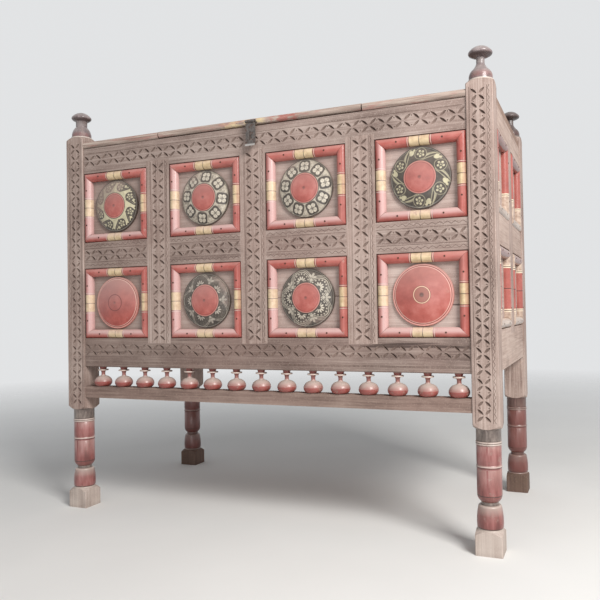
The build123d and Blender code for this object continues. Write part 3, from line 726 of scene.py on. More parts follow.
def draw_mid_rails(work):
    place = front_face("front_mid_rails")
    for left, right_edge in columns:
        ends = ((left, mid_middle), (right_edge, mid_middle))
        flower_row(work, place, *ends, SHORT_RAIL_FLOWERS, reach=30 * MM)
        for offset in (-SHORT_RAIL_LINE, SHORT_RAIL_LINE):
            ends = ((left + 2 * MM, mid_middle + offset), (right_edge - 2 * MM, mid_middle + offset))
            line(work, place, *ends)
        for offset in (-SHORT_RAIL_ZIGZAG, SHORT_RAIL_ZIGZAG):
            ends = ((left + 4 * MM, mid_middle + offset), (right_edge - 4 * MM, mid_middle + offset))
            zigzag(work, place, *ends, swing=3.6 * MM, step_length=11 * MM)


carve("front_mid_rails", "carved_mid_rails", rail_wood, draw_mid_rails)

# %% [markdown]
# The turned parts were lacquered at the lathe, with sticks of coloured wax melted on by friction. The
# lacquer was a deep red with pale bands, and age has turned most of it a dusty pink. Three things are the
# same on legs, bars, discs and spindles: the uneven red, the worn spots where it has gone, and a soft gloss
# that wear and dust take away.

# %% Lacquer and its wear
LACQUER_TONES = ((152, 66, 57), (176, 87, 77), (198, 119, 109))
SOOT = (52, 44, 40)
# The pale coat on all that faces up is dust and a painted sheen of the light from above.
DUST_AND_PAINTED_SHEEN = (206, 190, 178)


def red_lacquer(finish, scales=(26, 26, 26)):
    """The lacquer's own colour, uneven from layer to layer."""
    cloud = finish.noise(scales, detail=4, rough=0.6)
    broad = finish.noise((6, 6, 6), detail=2)
    return finish.ramp(cloud * 0.6 + broad * 0.4, (0.34, 0.5, 0.7), LACQUER_TONES)


def wear(finish, level, scales=(48, 48, 48)):
    """Where the lacquer has gone: scattered, and more of it as the level falls."""
    return finish.noise(scales, detail=5, rough=0.7).above(level, 0.05)


def close_lacquer(finish, worn, dust_and_painted_sheen, relief, depth):
    finish.shader.inputs["Coat Weight"].default_value = 0.25
    finish.shader.inputs["Coat Roughness"].default_value = 0.22
    return finish.close(worn * 0.35 + dust_and_painted_sheen * 0.2 + 0.3, relief, depth)


print("tones of the lacquer:", LACQUER_TONES)

# %% [markdown]
# On a leg each band of lacquer has its own height. Marks at those heights pick the colour, and noise lets
# the wood show through. The rear legs stand in the chest's shade and are much browner, so the same recipe
# takes a share of dark brown as a painted shade.

# %% Legs
BEAD_WHITE = (212, 198, 188)
LEG_TONES = ((108, 58, 55), (142, 83, 79), (170, 116, 112))
LEG_LINES = [
    (0.0730, 0.0014, SOOT),
    (0.1625, 0.0012, SOOT),
    (0.2440, 0.0012, BEAD_WHITE),
    (0.2408, 0.0009, SOOT),
    (0.3052, 0.0017, BEAD_WHITE),
    (0.3078, 0.0009, SOOT),
    (0.3108, 0.0019, BEAD_WHITE),
    (0.3140, 0.0010, SOOT),
]
FOOT_RING_TOP = 0.0715
PALE_BAND_LOW = 0.119
PALE_BAND_TOP = 0.1365
BARE_GROOVE = 0.1405
DULL_RING = 0.154
COLLAR_LOW = 0.3145


def banded_leg(name, painted_shade):
    finish = Finish(name)
    streaks = finish.noise((40, 40, 9), detail=4, rough=0.6)
    mottle = finish.noise((70, 70, 30), detail=5, rough=0.65)
    grey_wood = finish.ramp(mottle, (0.35, 0.65), ((92, 79, 74), (150, 136, 128)))
    height = finish.z + (finish.noise((30, 30, 8), detail=2) - 0.5) * 0.002
    pale_band = height.above(PALE_BAND_LOW, 0.022) * height.below(PALE_BAND_TOP, 0.001)
    worn = wear(finish, 0.63)
    dust_and_painted_sheen = finish.facing(UP) * 0.7
    finish.laid = finish.ramp(streaks, (0.32, 0.5, 0.68), LEG_TONES)
    finish.coat(height.near(DULL_RING, 0.009, 0.006) * 0.55, (122, 74, 68))
    finish.coat(pale_band * 0.65, (180, 164, 154))
    finish.coat(height.near(BARE_GROOVE, 0.0045, 0.001), grey_wood)
    finish.coat(height.above(COLLAR_LOW, 0.001), grey_wood)
    finish.coat(height.below(FOOT_RING_TOP, 0.001), (188, 172, 160))
    for level, half, tint in LEG_LINES:
        finish.coat(height.near(level, half, 0.0008) * 0.85, tint)
    finish.coat(worn * 0.5, (156, 130, 120))
    # Dust and a painted sheen on all that faces up.
    finish.coat(dust_and_painted_sheen, DUST_AND_PAINTED_SHEEN)
    # Darker where the ambient occlusion finds hollows: dirt and a painted shade.
    finish.coat(finish.hollows(0.012).below(0.7, 0.8) * 0.5, SOOT)
    # Painted shade: the rear legs are darkened brown all over.
    if painted_shade:
        finish.coat(painted_shade, (96, 52, 44))
    return close_lacquer(finish, worn, dust_and_painted_sheen, finish.noise((220, 220, 40), detail=3) - worn * 0.8, 0.0004)


print("lines on a leg at, mm:", [round(level / MM, 1) for level, half, tint in LEG_LINES])

# %% [markdown]
# The finials are the same lacquer after far more hands and weather: grey, with dust and a painted sheen on
# all that faces up, patches of the old red about the bowl, a pale neck, and a dark band of painted shade
# under the dome. Left and right tips differ in height, so the levels are counted down from the tip. Only
# the pale top of the shaft has a height of its own.

# %% Finials
FINIAL_TONES = ((98, 84, 84), (124, 109, 109), (152, 138, 137))
POST_TOP = 1.330
BOWL_DROP = -0.086
NECK_DROP = -0.0415
DOME_SHADE_DROP = -0.0275


def aged_finial(name, tip, painted_shade):
    finish = Finish(name)
    cloud = finish.noise((50, 50, 30), detail=4, rough=0.6)
    drop = finish.z - tip
    worn = wear(finish, 0.6)
    dust_and_painted_sheen = finish.facing(UP) * 0.6
    finish.laid = finish.ramp(cloud, (0.35, 0.5, 0.68), FINIAL_TONES)
    finish.coat(drop.near(BOWL_DROP, 0.009, 0.010) * cloud.above(0.42, 0.3) * 0.7, (132, 84, 80))
    finish.coat(finish.z.below(POST_TOP + 0.0012, 0.0012), (206, 192, 180))
    finish.coat(drop.near(NECK_DROP, 0.0085, 0.002) * 0.5, (150, 141, 138))
    # Painted shade: a dark band where the dome overhangs.
    finish.coat(drop.near(DOME_SHADE_DROP, 0.0035, 0.003) * 0.75, (78, 64, 62))
    finish.coat(worn * 0.5, (132, 112, 104))
    # Dust and a painted sheen on all that faces up.
    finish.coat(dust_and_painted_sheen, (168, 157, 153))
    # Painted shade: the rear finials are darkened all over.
    if painted_shade:
        finish.coat(painted_shade, (56, 42, 36))
    relief = finish.noise((90, 90, 260), detail=3) - worn * 0.6
    return finish.close(worn * 0.3 + dust_and_painted_sheen * 0.1 + 0.27, relief, 0.0005)


print("marks under a tip, mm:", [round(drop / MM, 1) for drop in (BOWL_DROP, NECK_DROP, DOME_SHADE_DROP)])

# %% [markdown]
# A post is one timber from its block foot to its finial. So a single material would not do: it gets four,
# for foot, leg, shaft and finial, and each face takes one by its height. The rear ones differ only by a
# painted shade that darkens their feet, legs and finials.

# %% Finishes for the posts
FOOT_HIGH = 0.0685
SHAFT_LOW = 0.3515
SHAFT_HIGH = 1.3265
# Painted shade for the rear posts, which stand in the chest's shade.
REAR_PAINTED_SHADE = 0.65

foot_tones = ((162, 146, 136), (194, 180, 170), (214, 203, 193))
# The rear feet get dark tones as a painted shade.
rear_foot_tones_painted_shade = ((70, 54, 46), (104, 84, 72), (136, 114, 100))
foot_finishes = {
    "front": timber("worn_foot", "z", foot_tones, corner_dirt_and_shade=0.3),
    "back": timber("rear_foot_painted_shade", "z", rear_foot_tones_painted_shade),
}
leg_finishes = {
    "front": banded_leg("banded_lacquer_leg", 0),
    "back": banded_leg("rear_lacquer_leg_painted_shade", REAR_PAINTED_SHADE),
}
finial_finishes = {}
for end, painted_shade in (("front", 0), ("back", REAR_PAINTED_SHADE)):
    for side in ("left", "right"):
        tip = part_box(f"post_{end}_{side}")[1].z
        finial_finishes[end, side] = aged_finial(f"aged_finial_{end}_{side}", tip, painted_shade)


def split_finishes(piece, end, side):
    """Foot, leg, shaft and finial by height. Faces that a chisel cut keep theirs."""
    materials = piece.data.materials
    finishes = (foot_finishes[end], leg_finishes[end], finial_finishes[end, side])
    for finish in finishes:
        materials.append(finish)
    foot, leg, finial = range(len(materials) - len(finishes), len(materials))
    for face in piece.data.polygons:
        if materials[face.material_index] == chip_wood:
            continue
        if face.center.z < FOOT_HIGH:
            face.material_index = foot
        elif face.center.z < SHAFT_LOW:
            face.material_index = leg
        elif face.center.z > SHAFT_HIGH:
            face.material_index = finial


print("finial finishes:", len(finial_finishes))

# %% [markdown]
# Now the posts themselves. The shafts of the front ones are carved. Their flowers are set closer than on
# the rails, a little towards the inner side, between two lines, with a zigzag in the outer margin. The
# posts at the back are plain copies, because they need the same split into four finishes.

# %% Posts
POST_FLOWERS = 22
POST_REACH = 27.4 * MM
POST_SLOPE = math.radians(43)
POST_LINE = 24.6 * MM
POST_ZIGZAG = 29.6 * MM
ROW_SHIFT = 4 * MM
PLAIN_FOOT = 14 * MM
PLAIN_HEAD = 22 * MM


def draw_post(node, inner_side):
    box_low, box_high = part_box(node)
    middle = (box_low.x + box_high.x) / 2 + inner_side * ROW_SHIFT
    low = SHAFT_LOW + PLAIN_FOOT
    high = SHAFT_HIGH - PLAIN_HEAD

    def draw(work):
        place = front_face(node)
        flower_row(work, place, (middle, low), (middle, high), POST_FLOWERS, POST_REACH, POST_SLOPE)
        for offset in (-POST_LINE, POST_LINE):
            line(work, place, (middle + offset, low), (middle + offset, high))
        edge = middle - inner_side * POST_ZIGZAG
        zigzag(work, place, (edge, low), (edge, high), swing=2.4 * MM, step_length=9 * MM)

    return draw


for side, inner_side in (("left", 1), ("right", -1)):
    node = f"post_front_{side}"
    piece = carve(node, f"carved_post_{side}", stile_wood, draw_post(node, inner_side))
    split_finishes(piece, "front", side)

for side in ("left", "right"):
    piece = closed_copy(f"post_back_{side}", f"plain_post_{side}")
    piece.data.materials.clear()
    piece.data.materials.append(stile_wood)
    shade_by_form(piece.data)
    split_finishes(piece, "back", side)
    stand_for(piece, f"post_back_{side}")

# %% [markdown]
# Around every panel runs a frame of half round bars, mitred at the corners. The bars were lacquered red,
# with two cream blocks at the middle of each, edged by dark and pale lines. The same recipe works for
# all four bars of a frame if we fold the panel about its middle: how far in from the nearer edge tells
# which bar we are on, and the distance along that bar from its middle places the blocks.
#
# The four bars do not look alike. The inner halves of the left and the lower bar carry a painted highlight
# where the light falls on them, the outer slope of the right bar carries a painted shadow of the stile
# beside it, and dust with a painted sheen lies on all that faces up.

# %% Front moulding bars
BLOCK_HALF = 30 * MM
INNER_HALF = 14 * MM
EDGE = 0.6 * MM
BAR_FADED = (204, 146, 136)
BAR_CREAM = ((196, 168, 128), (224, 199, 160))
BAR_PALE_LINE = (232, 206, 190)
BAR_PAINTED_HIGHLIGHT = (212, 182, 178)
BAR_PAINTED_SHADOW = (134, 62, 54)
BAR_WORN = (172, 134, 122)
BAR_DUST_AND_PAINTED_SHEEN = (204, 174, 165)
BAR_MITRE = (86, 40, 36)
BAR_DIRT_AND_SHADE = (70, 36, 32)


def front_bar(name, centre, half, freshness):
    finish = Finish(name)
    across = finish.x - centre[0]
    up = finish.z - centre[1]
    from_side = half[0] - across.size()
    from_end = half[1] - up.size()
    lying = (from_side - from_end).above(0.0, EDGE)
    left_bar = (1.0 - lying) * across.below(0.0, 0.001)
    right_bar = 1.0 - either(lying, left_bar)
    lower_bar = lying * up.below(0.0, 0.001)
    mitre = (from_side - from_end).size().below(0.0007, EDGE)
    inner_half = from_side.op("MINIMUM", from_end).above(INNER_HALF, 13 * MM)
    along = across.size() * lying + up.size() * (1.0 - lying)
    along = along + (finish.noise((60, 60, 60), detail=2) - 0.5) * 0.0012
    blocks = along.below(BLOCK_HALF, 0.0008)
    cream = finish.ramp(finish.noise((70, 70, 70), detail=4), (0.3, 0.6), BAR_CREAM)
    dark_lines = either(
        along.below(0.0011, EDGE),
        along.near(BLOCK_HALF + 0.8 * MM, 0.9 * MM, 0.0005),
        along.near(BLOCK_HALF + 6.4 * MM, 0.5 * MM, 0.0005),
    )
    painted_highlight = inner_half * either(left_bar, lower_bar) * (1.0 - blocks * 0.6)
    faded = finish.noise((5, 5, 5), detail=3).above(0.62 - 0.2 * (1 - freshness), 0.25)
    worn = wear(finish, 0.65)
    dust_and_painted_sheen = finish.facing(UP).op("POWER", 0.6) * 0.35
    finish.laid = red_lacquer(finish)
    finish.coat(faded * 0.45, BAR_FADED)
    finish.coat(blocks, cream)
    finish.coat(along.near(BLOCK_HALF + 4.6 * MM, 1.0 * MM, 0.0005) * 0.8, BAR_PALE_LINE)
    finish.coat(dark_lines * 0.85, SOOT)
    # Painted highlight: the inner slopes of the left and the lower bar, which face the light, are paler.
    finish.coat(painted_highlight * 0.72, BAR_PAINTED_HIGHLIGHT)
    # Painted shadow: the right bar's outer slope lies in the shade of the stile beside it.
    finish.coat(finish.facing(RIGHT).above(0.3, 0.5) * right_bar * 0.55, BAR_PAINTED_SHADOW)
    finish.coat(worn * 0.6, BAR_WORN)
    # Dust and a painted sheen on all that faces up.
    finish.coat(dust_and_painted_sheen, BAR_DUST_AND_PAINTED_SHEEN)
    finish.coat(mitre * 0.55, BAR_MITRE)
    # Darker where the ambient occlusion finds hollows: dirt and a painted shade.
    finish.coat(finish.hollows(0.01).below(0.6, 0.7) * 0.3, BAR_DIRT_AND_SHADE)
    relief = finish.noise((150, 150, 150), detail=3) - worn * 0.7 - mitre
    return close_lacquer(finish, worn, dust_and_painted_sheen, relief, 0.00035)


panel_centres = {}
for row in ("lower", "upper"):
    for number in range(1, 5):
        node = f"front_moulding_{row}_{number}"
        low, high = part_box(node)
        centre = ((low.x + high.x) / 2, (low.z + high.z) / 2)
        half = ((high.x - low.x) / 2, (high.z - low.z) / 2)
        panel_centres[row, number] = centre
        dress(front_bar(f"lacquer_bars_{row}_{number}", centre, half, hand.uniform(0.4, 1.0)), node)
print("panel middles, mm:", {key: (round(x / MM), round(z / MM)) for key, (x, z) in panel_centres.items()})

# %% [markdown]
# The end walls have the same bars with a plainer scheme. The upper bar of each frame is dark red and the
# lower bar bare. On the upright bars of the lower row a red stretch sits about the middle, with a dark line
# across it. On the upper row the red runs down from the top. A pale, a dark and a pale ring end each
# stretch, and the rest is bare wood. Four frames share one node, so the recipe folds the wall about its
# middle stile and then treats the two rows apart.

# %% Side moulding bars
RED_HALF = 65 * MM
UPPER_RED_MIDDLE = 29 * MM
SIDE_BARE = ((156, 130, 114), (212, 190, 172))
SIDE_TOP_RED = (122, 62, 55)
SIDE_WORN = (176, 148, 130)
SIDE_MITRE = (86, 52, 44)
SIDE_RINGS = [
    (67.2 * MM, 1.6 * MM, (232, 214, 188)),
    (70.0 * MM, 0.9 * MM, SOOT),
    (73.2 * MM, 1.5 * MM, (228, 210, 184)),
]


def side_bars(name, wall_middle, column_offset, rows, half):
    finish = Finish(name)
    lower_middle, upper_middle = rows
    height = finish.z
    upper_row = height.above((lower_middle + upper_middle) / 2, 0.001)
    up = height - (upper_row * (upper_middle - lower_middle) + lower_middle)
    from_side = half[0] - ((finish.y - wall_middle).size() - column_offset).size()
    from_end = half[1] - up.size()
    lying = (from_side - from_end).above(0.0, EDGE)
    upright = 1.0 - lying
    mitre = (from_side - from_end).size().below(0.0007, EDGE)
    from_lower = (height - lower_middle).size()
    from_upper = (height - (upper_middle + UPPER_RED_MIDDLE)) * -1.0
    outside = from_lower * (1.0 - upper_row) + from_upper * upper_row
    grain = finish.noise((90, 6, 90), detail=5)
    worn = wear(finish, 0.66)
    dust_and_painted_sheen = finish.facing(UP) * 0.6
    dull_red = finish.over(0.3, red_lacquer(finish), (160, 112, 104))
    finish.laid = finish.ramp(grain, (0.3, 0.7), SIDE_BARE)
    finish.coat(upright * outside.below(RED_HALF, 0.0008), dull_red)
    finish.coat(lying * up.above(0.0, 0.001) * 0.85, SIDE_TOP_RED)
    for level, ring_half, tint in SIDE_RINGS:
        finish.coat(upright * outside.near(level, ring_half, EDGE), tint)
    finish.coat(upright * (1.0 - upper_row) * from_lower.below(0.0011, EDGE), SOOT)
    finish.coat(worn * 0.5, SIDE_WORN)
    # Dust and a painted sheen on all that faces up.
    finish.coat(dust_and_painted_sheen, DUST_AND_PAINTED_SHEEN)
    finish.coat(mitre * 0.5, SIDE_MITRE)
    return close_lacquer(finish, worn, dust_and_painted_sheen, grain * 0.6 - worn * 0.6 - mitre, 0.0004)


side_stile_low, side_stile_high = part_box("right_stile")
side_low, side_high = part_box("right_mouldings")
side_mid_low, side_mid_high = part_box("right_mid_rails")
wall_middle = (side_low.y + side_high.y) / 2
stile_half = (side_stile_high.y - side_stile_low.y) / 2
side_half_width = ((side_high.y - side_low.y) / 2 - stile_half) / 2
side_rows = ((side_low.z + side_mid_low.z) / 2, (side_high.z + side_mid_high.z) / 2)
side_half = (side_half_width, (side_mid_low.z - side_low.z) / 2)
column_offset = stile_half + side_half_width
side_finish = side_bars("lacquer_side_bars", wall_middle, column_offset, side_rows, side_half)
dress(side_finish, "left_mouldings", "right_mouldings")
print("side frames, middles in mm:", [round(level / MM) for level in side_rows])

# %% [markdown]
# Each panel carries a turned disc. Two are plain red with fine rings. The other six have a painted ring
# around a red heart, each with traditional ornament: small flowers in a chain, running leaves, or half
# round lobes with toothed borders. A ring ornament repeats, so it is enough to draw one part. `DiscPlan`
# gives the distance from the middle in radii and folds the circle into equal parts. Inside one part we have
# a small flat drawing board: `t` runs around the ring and `p` outwards.

# %% The disc's drawing board
disc_low, disc_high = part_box("front_disc_upper_1")
DISC_RADIUS = (disc_high.x - disc_low.x) / 2
RING_MIDDLE = 0.76
BLUR = 0.016


class DiscPlan:
    """Places on one disc, in radii from its middle."""

    def __init__(self, finish, centre):
        self.across = (finish.x - centre[0]) / DISC_RADIUS
        self.up = (finish.z - centre[1]) / DISC_RADIUS
        self.r = (self.across.squared() + self.up.squared()).root()
        self.angle = self.up.op("ARCTAN2", self.across)

    def part(self, count, first, swirl=0.0):
        """t around the ring and p outwards, from the middle of each equal part."""
        turns = self.angle * (count / (2 * math.pi)) + (20.5 - first * count / 360)
        if swirl:
            turns = turns + (self.r - RING_MIDDLE) * swirl
        share = turns.op("FRACT") - 0.5
        return share * self.r * (2 * math.pi / count), self.r - RING_MIDDLE


def distance(t, p, t0=0.0, p0=0.0):
    return ((t - t0).squared() + (p - p0).squared()).root()


def petals(t, p, count, radius, turn=0.0, fat=False):
    """A mask of petals about a point, slender or fat."""
    swing = (p.op("ARCTAN2", t) * (count / 2) + turn).op("COSINE").size().root()
    if fat:
        swing = swing.root()
    return (distance(t, p) - swing * radius).below(0.0, BLUR)


print("disc radius in mm:", round(DISC_RADIUS / MM, 1))

# %% [markdown]
# The ring ornaments follow. Each one returns two masks: where the dark ground shows (none means all over)
# and where the pale paint goes.
#
# The first is a chain of flowers on a grey-green ring. Every flower has four fat petals in a dark rounded
# field, and pale sprays fill the corners that the fields leave along the rim and around the heart.

# %% Chain of flowers
FIELD_SIZE = 0.218
FIELD_LINE = 0.234
QUARTER_TURN = math.pi / 2


def flower_chain(plan, count, first, outline):
    t, p = plan.part(count, first)
    q = distance(t, p)
    squarish = (t.size().op("POWER", 3.0) + p.size().op("POWER", 3.0)).op("POWER", 1 / 3)
    field = squarish.below(FIELD_SIZE, BLUR)
    blossom = petals(t, p, 4, 0.172, QUARTER_TURN, fat=True)
    splits = (t.size() - p.size()).size().below(0.007, BLUR) * q.above(0.075, BLUR) * 0.6
    veins = either(q.below(0.022, BLUR), petals(t, p, 4, 0.075) * 0.7, splits)
    half_t, half_p = plan.part(count, first + 180 / count)
    sprays = either(
        petals(half_t, half_p - 0.19, 6, 0.175, QUARTER_TURN) * half_p.below(0.18, BLUR),
        petals(half_t, half_p + 0.25, 6, 0.165, QUARTER_TURN) * half_p.above(-0.24, BLUR),
    )
    outside = 1.0 - squarish.below(FIELD_SIZE + 0.010, BLUR)
    pale = either(
        field * blossom * (1.0 - veins),
        sprays * outside * 0.65,
        squarish.near(FIELD_LINE, 0.010, BLUR) * outline,
    )
    return field, pale


print("half a flower's field, mm:", round(FIELD_SIZE * DISC_RADIUS / MM, 1))

# %% [markdown]
# The second has small dark rounds with a ring of dots. A long leaf sweeps from each round to the next, and
# a pale bud sits on its shoulder. The same drawing serves two discs. On one it is pale lines on a black
# ground, on the other the ground itself is pale and the leaves are dark on it.

# %% Running leaves
LEAF_SWIRL = 1.3
LEAF_SHIFT = 0.36
ROUND_SIZE = 0.178


def running_leaves(plan, count, first, pale_ground):
    t, p = plan.part(count, first)
    q = distance(t, p)
    dots = either(petals(t, p, 5, 0.128, 0.4) * q.above(0.058, BLUR), q.below(0.022, BLUR))
    beads = dots * (1.0 - q.near(0.078, 0.004, 0.010))
    side_t, side_p = plan.part(count, first - LEAF_SHIFT * 360 / count, LEAF_SWIRL)
    leaf_edge = side_t.size() - (1.0 - (side_p / 0.21).squared()) * 0.075
    leaf_mask = leaf_edge.below(0.0, BLUR)
    outside = 1.0 - q.below(ROUND_SIZE, BLUR)
    if pale_ground:
        rib = side_t.size().below(0.006, 0.010) * side_p.size().below(0.15, BLUR)
        scallops = (plan.angle * (3 * count)).op("COSINE").size() * 0.045
        ground = (p + scallops).below(0.165, BLUR) * (1.0 - leaf_mask) * outside
        return None, either(ground, beads, rib * 0.5)
    ring_line = q.near(0.190, 0.012, BLUR) * 0.5
    leaf_line = leaf_edge.near(0.024, 0.018, BLUR) * 0.6
    half_leaf = leaf_mask * side_t.above(0.006, BLUR) * 0.75
    bud = either(
        distance(t, p, 0.300, 0.060).below(0.078, BLUR),
        distance(t, p, 0.350, 0.120).below(0.048, BLUR),
        distance(t, p, 0.235, 0.135).below(0.044, BLUR),
    )
    return None, either(beads, either(ring_line, leaf_line, half_leaf, bud) * outside)


print("radius of a round, mm:", round(ROUND_SIZE * DISC_RADIUS / MM, 1))

# %% [markdown]
# The third has five half round lobes that stand on the heart. Each has a pale rim, a row of teeth and a
# palmette in it, and arched lines with a pale bud fill the gaps. On one of the two discs that carry it the
# paint has faded until only the sprays are easy to see.

# %% Toothed lobes
LOBE_FOOT = -0.19
LOBE_SIZE = 0.355
TEETH_AT = 0.278


def toothed_lobes(plan, count, first, strength):
    t, p = plan.part(count, first)
    rise = p - LOBE_FOOT
    q = distance(t, p, 0.0, LOBE_FOOT)
    teeth = (rise.op("ARCTAN2", t) * 17.0).op("COSINE").above(0.1, 0.6)
    teeth = teeth * q.near(TEETH_AT, 0.024, BLUR) * 0.85
    rim = q.near(0.342, 0.010, BLUR)
    palmette = petals(t, rise, 12, 0.195) * rise.above(0.0, BLUR) * (1.0 - q.below(0.070, BLUR))
    half_t, half_p = plan.part(count, first + 180 / count)
    half_rise = half_p + 0.05
    bud = either(
        petals(half_t, half_rise, 6, 0.165, QUARTER_TURN) * half_rise.above(0.0, BLUR) * 0.8,
        distance(half_t, half_p, 0.0, -0.12).below(0.045, BLUR) * 0.8,
    )
    arches = either(q.near(0.398, 0.011, BLUR), q.near(0.452, 0.010, BLUR))
    inner = either(teeth * strength, rim * strength, palmette)
    outer = either(bud, arches * 0.8 * (1.0 - bud)) * (1.0 - q.below(LOBE_SIZE, BLUR))
    return None, either(inner, outer)


print("radius of a lobe, mm:", round(LOBE_SIZE * DISC_RADIUS / MM, 1))

# %% [markdown]
# A disc is painted from the middle out: red heart with a fine line, pale line, dark line, ornament, dark
# rim. Dust lies on the upper part of the shallow dome and greys the red there. Old paint never wears
# evenly, so each disc has its own worn side, where a broad mask thins the ornament to grey wood.

# %% Painted discs
RING_DARK = ((56, 49, 43), (90, 81, 72))
RING_GREEN = ((94, 84, 73), (178, 167, 150))
RING_WORN = (150, 130, 120)
RIM_LINE = (176, 168, 154)
RIM_DARK = (70, 59, 52)
HEART_DARK_LINE = (58, 49, 44)
HEART_PALE_LINE = (186, 132, 120)
HEART_FINE_LINE = (98, 44, 40)
CENTRE_MARK = (92, 54, 50)
DUSTY_RED = (172, 132, 126)


def dusty_above(finish, plan, colour, strength):
    """Grey the red of a disc, strongest at the top and fading out towards the bottom."""
    drift = (finish.noise((14, 14, 14), detail=2) - 0.5) * 0.5
    return finish.over((plan.up + drift).above(0.05, 1.4) * strength, colour, DUSTY_RED)


def painted_disc(name, centre, heart, ornament, worn_side, worn_amount, pale_tones, dust):
    finish = Finish(name)
    plan = DiscPlan(finish, centre)
    red = dusty_above(finish, plan, red_lacquer(finish, (40, 40, 40)), dust)
    dark_mask, pale_mask = ornament(plan)
    mottle = finish.noise((60, 60, 60), detail=4, rough=0.65)
    pale = finish.ramp(mottle, (0.3, 0.7), pale_tones)
    lean = plan.across * math.cos(worn_side) + plan.up * math.sin(worn_side)
    patch = finish.noise((22, 22, 22), detail=5, rough=0.65)
    worn = (lean * 0.42 + patch + worn_amount).above(0.93, 0.2)
    dust_and_painted_sheen = finish.facing(UP) * 0.3
    finish.laid = finish.ramp(mottle, (0.3, 0.7), RING_DARK)
    if dark_mask:
        finish.coat(1.0 - dark_mask, finish.ramp(mottle, (0.34, 0.64), RING_GREEN))
    finish.coat(pale_mask, pale)
    finish.coat(worn * 0.7, RING_WORN)
    finish.coat(plan.r.near(0.955, 0.005, 0.008) * 0.55, RIM_LINE)
    finish.coat(plan.r.above(0.970, BLUR) * 0.85, RIM_DARK)
    finish.coat(plan.r.below(heart + 0.046, 0.010), HEART_DARK_LINE)
    finish.coat(plan.r.below(heart + 0.024, 0.010), HEART_PALE_LINE)
    finish.coat(plan.r.below(heart, 0.010), red)
    finish.coat(plan.r.near(heart - 0.030, 0.006, 0.008) * 0.75, HEART_FINE_LINE)
    finish.coat(plan.r.below(0.050, 0.05) * 0.7, CENTRE_MARK)
    # Dust and a painted sheen on all that faces up.
    finish.coat(dust_and_painted_sheen, DUST_AND_PAINTED_SHEEN)
    relief = finish.noise((120, 120, 120), detail=4) * 0.6 + pale_mask * 0.5 - worn * 0.7
    return close_lacquer(finish, worn, dust_and_painted_sheen, relief, 0.0003)


STRAW = ((172, 164, 136), (210, 201, 168))
ASH = ((178, 168, 152), (216, 206, 188))
FADED = ((150, 141, 130), (188, 178, 164))

# Each design: size of the heart, ornament, worn side in radians, how worn, pale tones, dust.
disc_designs = {
    ("upper", 1): (0.46, lambda plan: running_leaves(plan, 8, 24, True), 2.6, 0.30, STRAW, 0.6),
    ("upper", 2): (0.47, lambda plan: flower_chain(plan, 8, 38, 0.45), 2.4, 0.04, ASH, 0.6),
    ("upper", 3): (0.49, lambda plan: flower_chain(plan, 9, 10, 0.6), 2.0, 0.04, ASH, 0.6),
    ("upper", 4): (0.50, lambda plan: running_leaves(plan, 6, 27, False), 0.4, -0.02, STRAW, 0.6),
    ("lower", 2): (0.55, lambda plan: toothed_lobes(plan, 5, 37, 0.15), 0.6, 0.07, FADED, 0.6),
    ("lower", 3): (0.49, lambda plan: toothed_lobes(plan, 5, 36, 1.0), 5.0, 0.02, ASH, 0.3),
}
for (row, number), design in disc_designs.items():
    finish = painted_disc(f"painted_disc_{row}_{number}", panel_centres[row, number], *design)
    dress(finish, f"front_disc_{row}_{number}")
print("painted discs:", len(disc_designs))

# %% [markdown]
# The two plain discs show the turner's rings alone: two pale lines with a dark one between them near the
# rim, and either one fine dark ring or a pale ring around a small brown eye. A ring is a disc with a
# smaller disc laid over it, so the eye is laid from its outer edge inwards.

# %% Plain discs
OUTER_DARK_LINE = (110, 60, 54)
OUTER_PALE_LINE = (226, 190, 176)
PALE_RIM = (206, 150, 138)
FINE_RING = (104, 52, 50)
PLAIN_CENTRE = (104, 62, 58)
PLAIN_WORN = (190, 146, 132)
EYE_RINGS = [
    (0.290, (104, 54, 48)),
    (0.278, (228, 186, 158)),
    (0.248, (96, 58, 52)),
    (0.236, (162, 104, 92)),
]
EYE_CENTRE = (78, 54, 50)


def plain_disc(name, centre, with_eye, dust):
    finish = Finish(name)
    plan = DiscPlan(finish, centre)
    pale_lines = either(plan.r.near(0.905, 0.009, 0.008), plan.r.near(0.958, 0.008, 0.008))
    dark_line = plan.r.near(0.932, 0.006, 0.008)
    worn = wear(finish, 0.66, (36, 36, 36))
    dust_and_painted_sheen = finish.facing(UP) * 0.35
    finish.laid = dusty_above(finish, plan, red_lacquer(finish, (34, 34, 34)), dust)
    finish.coat(dark_line * 0.6, OUTER_DARK_LINE)
    finish.coat(pale_lines * 0.8, OUTER_PALE_LINE)
    finish.coat(plan.r.above(0.960, BLUR) * 0.5, PALE_RIM)
    if with_eye:
        for reach, tint in EYE_RINGS:
            finish.coat(plan.r.below(reach, 0.010), tint)
        finish.coat(plan.r.below(0.070, 0.05) * 0.8, EYE_CENTRE)
    else:
        finish.coat(plan.r.near(0.310, 0.013, 0.010) * 0.9, FINE_RING)
        finish.coat(plan.r.below(0.050, 0.05) * 0.6, PLAIN_CENTRE)
    finish.coat(worn * 0.4, PLAIN_WORN)
    # Dust and a painted sheen on all that faces up.
    finish.coat(dust_and_painted_sheen, DUST_AND_PAINTED_SHEEN)
    relief = finish.noise((120, 120, 120), detail=4) * 0.6 - worn * 0.5 - dark_line
    return close_lacquer(finish, worn, dust_and_painted_sheen, relief, 0.0003)


dress(plain_disc("plain_disc_left", panel_centres["lower", 1], False, 0.75), "front_disc_lower_1")
dress(plain_disc("plain_disc_right", panel_centres["lower", 4], True, 0.4), "front_disc_lower_4")
print("rings of the eye, mm:", [round(reach * DISC_RADIUS / MM, 1) for reach, tint in EYE_RINGS])

# %% [markdown]
# Fifteen squat spindles stand on the stretcher. They are lacquered too: a dull red, paler above and with
# dust and a painted sheen on all that faces up, a pale ring near the top, a dark one over it and a dark
# foot. Again each mark is a height.

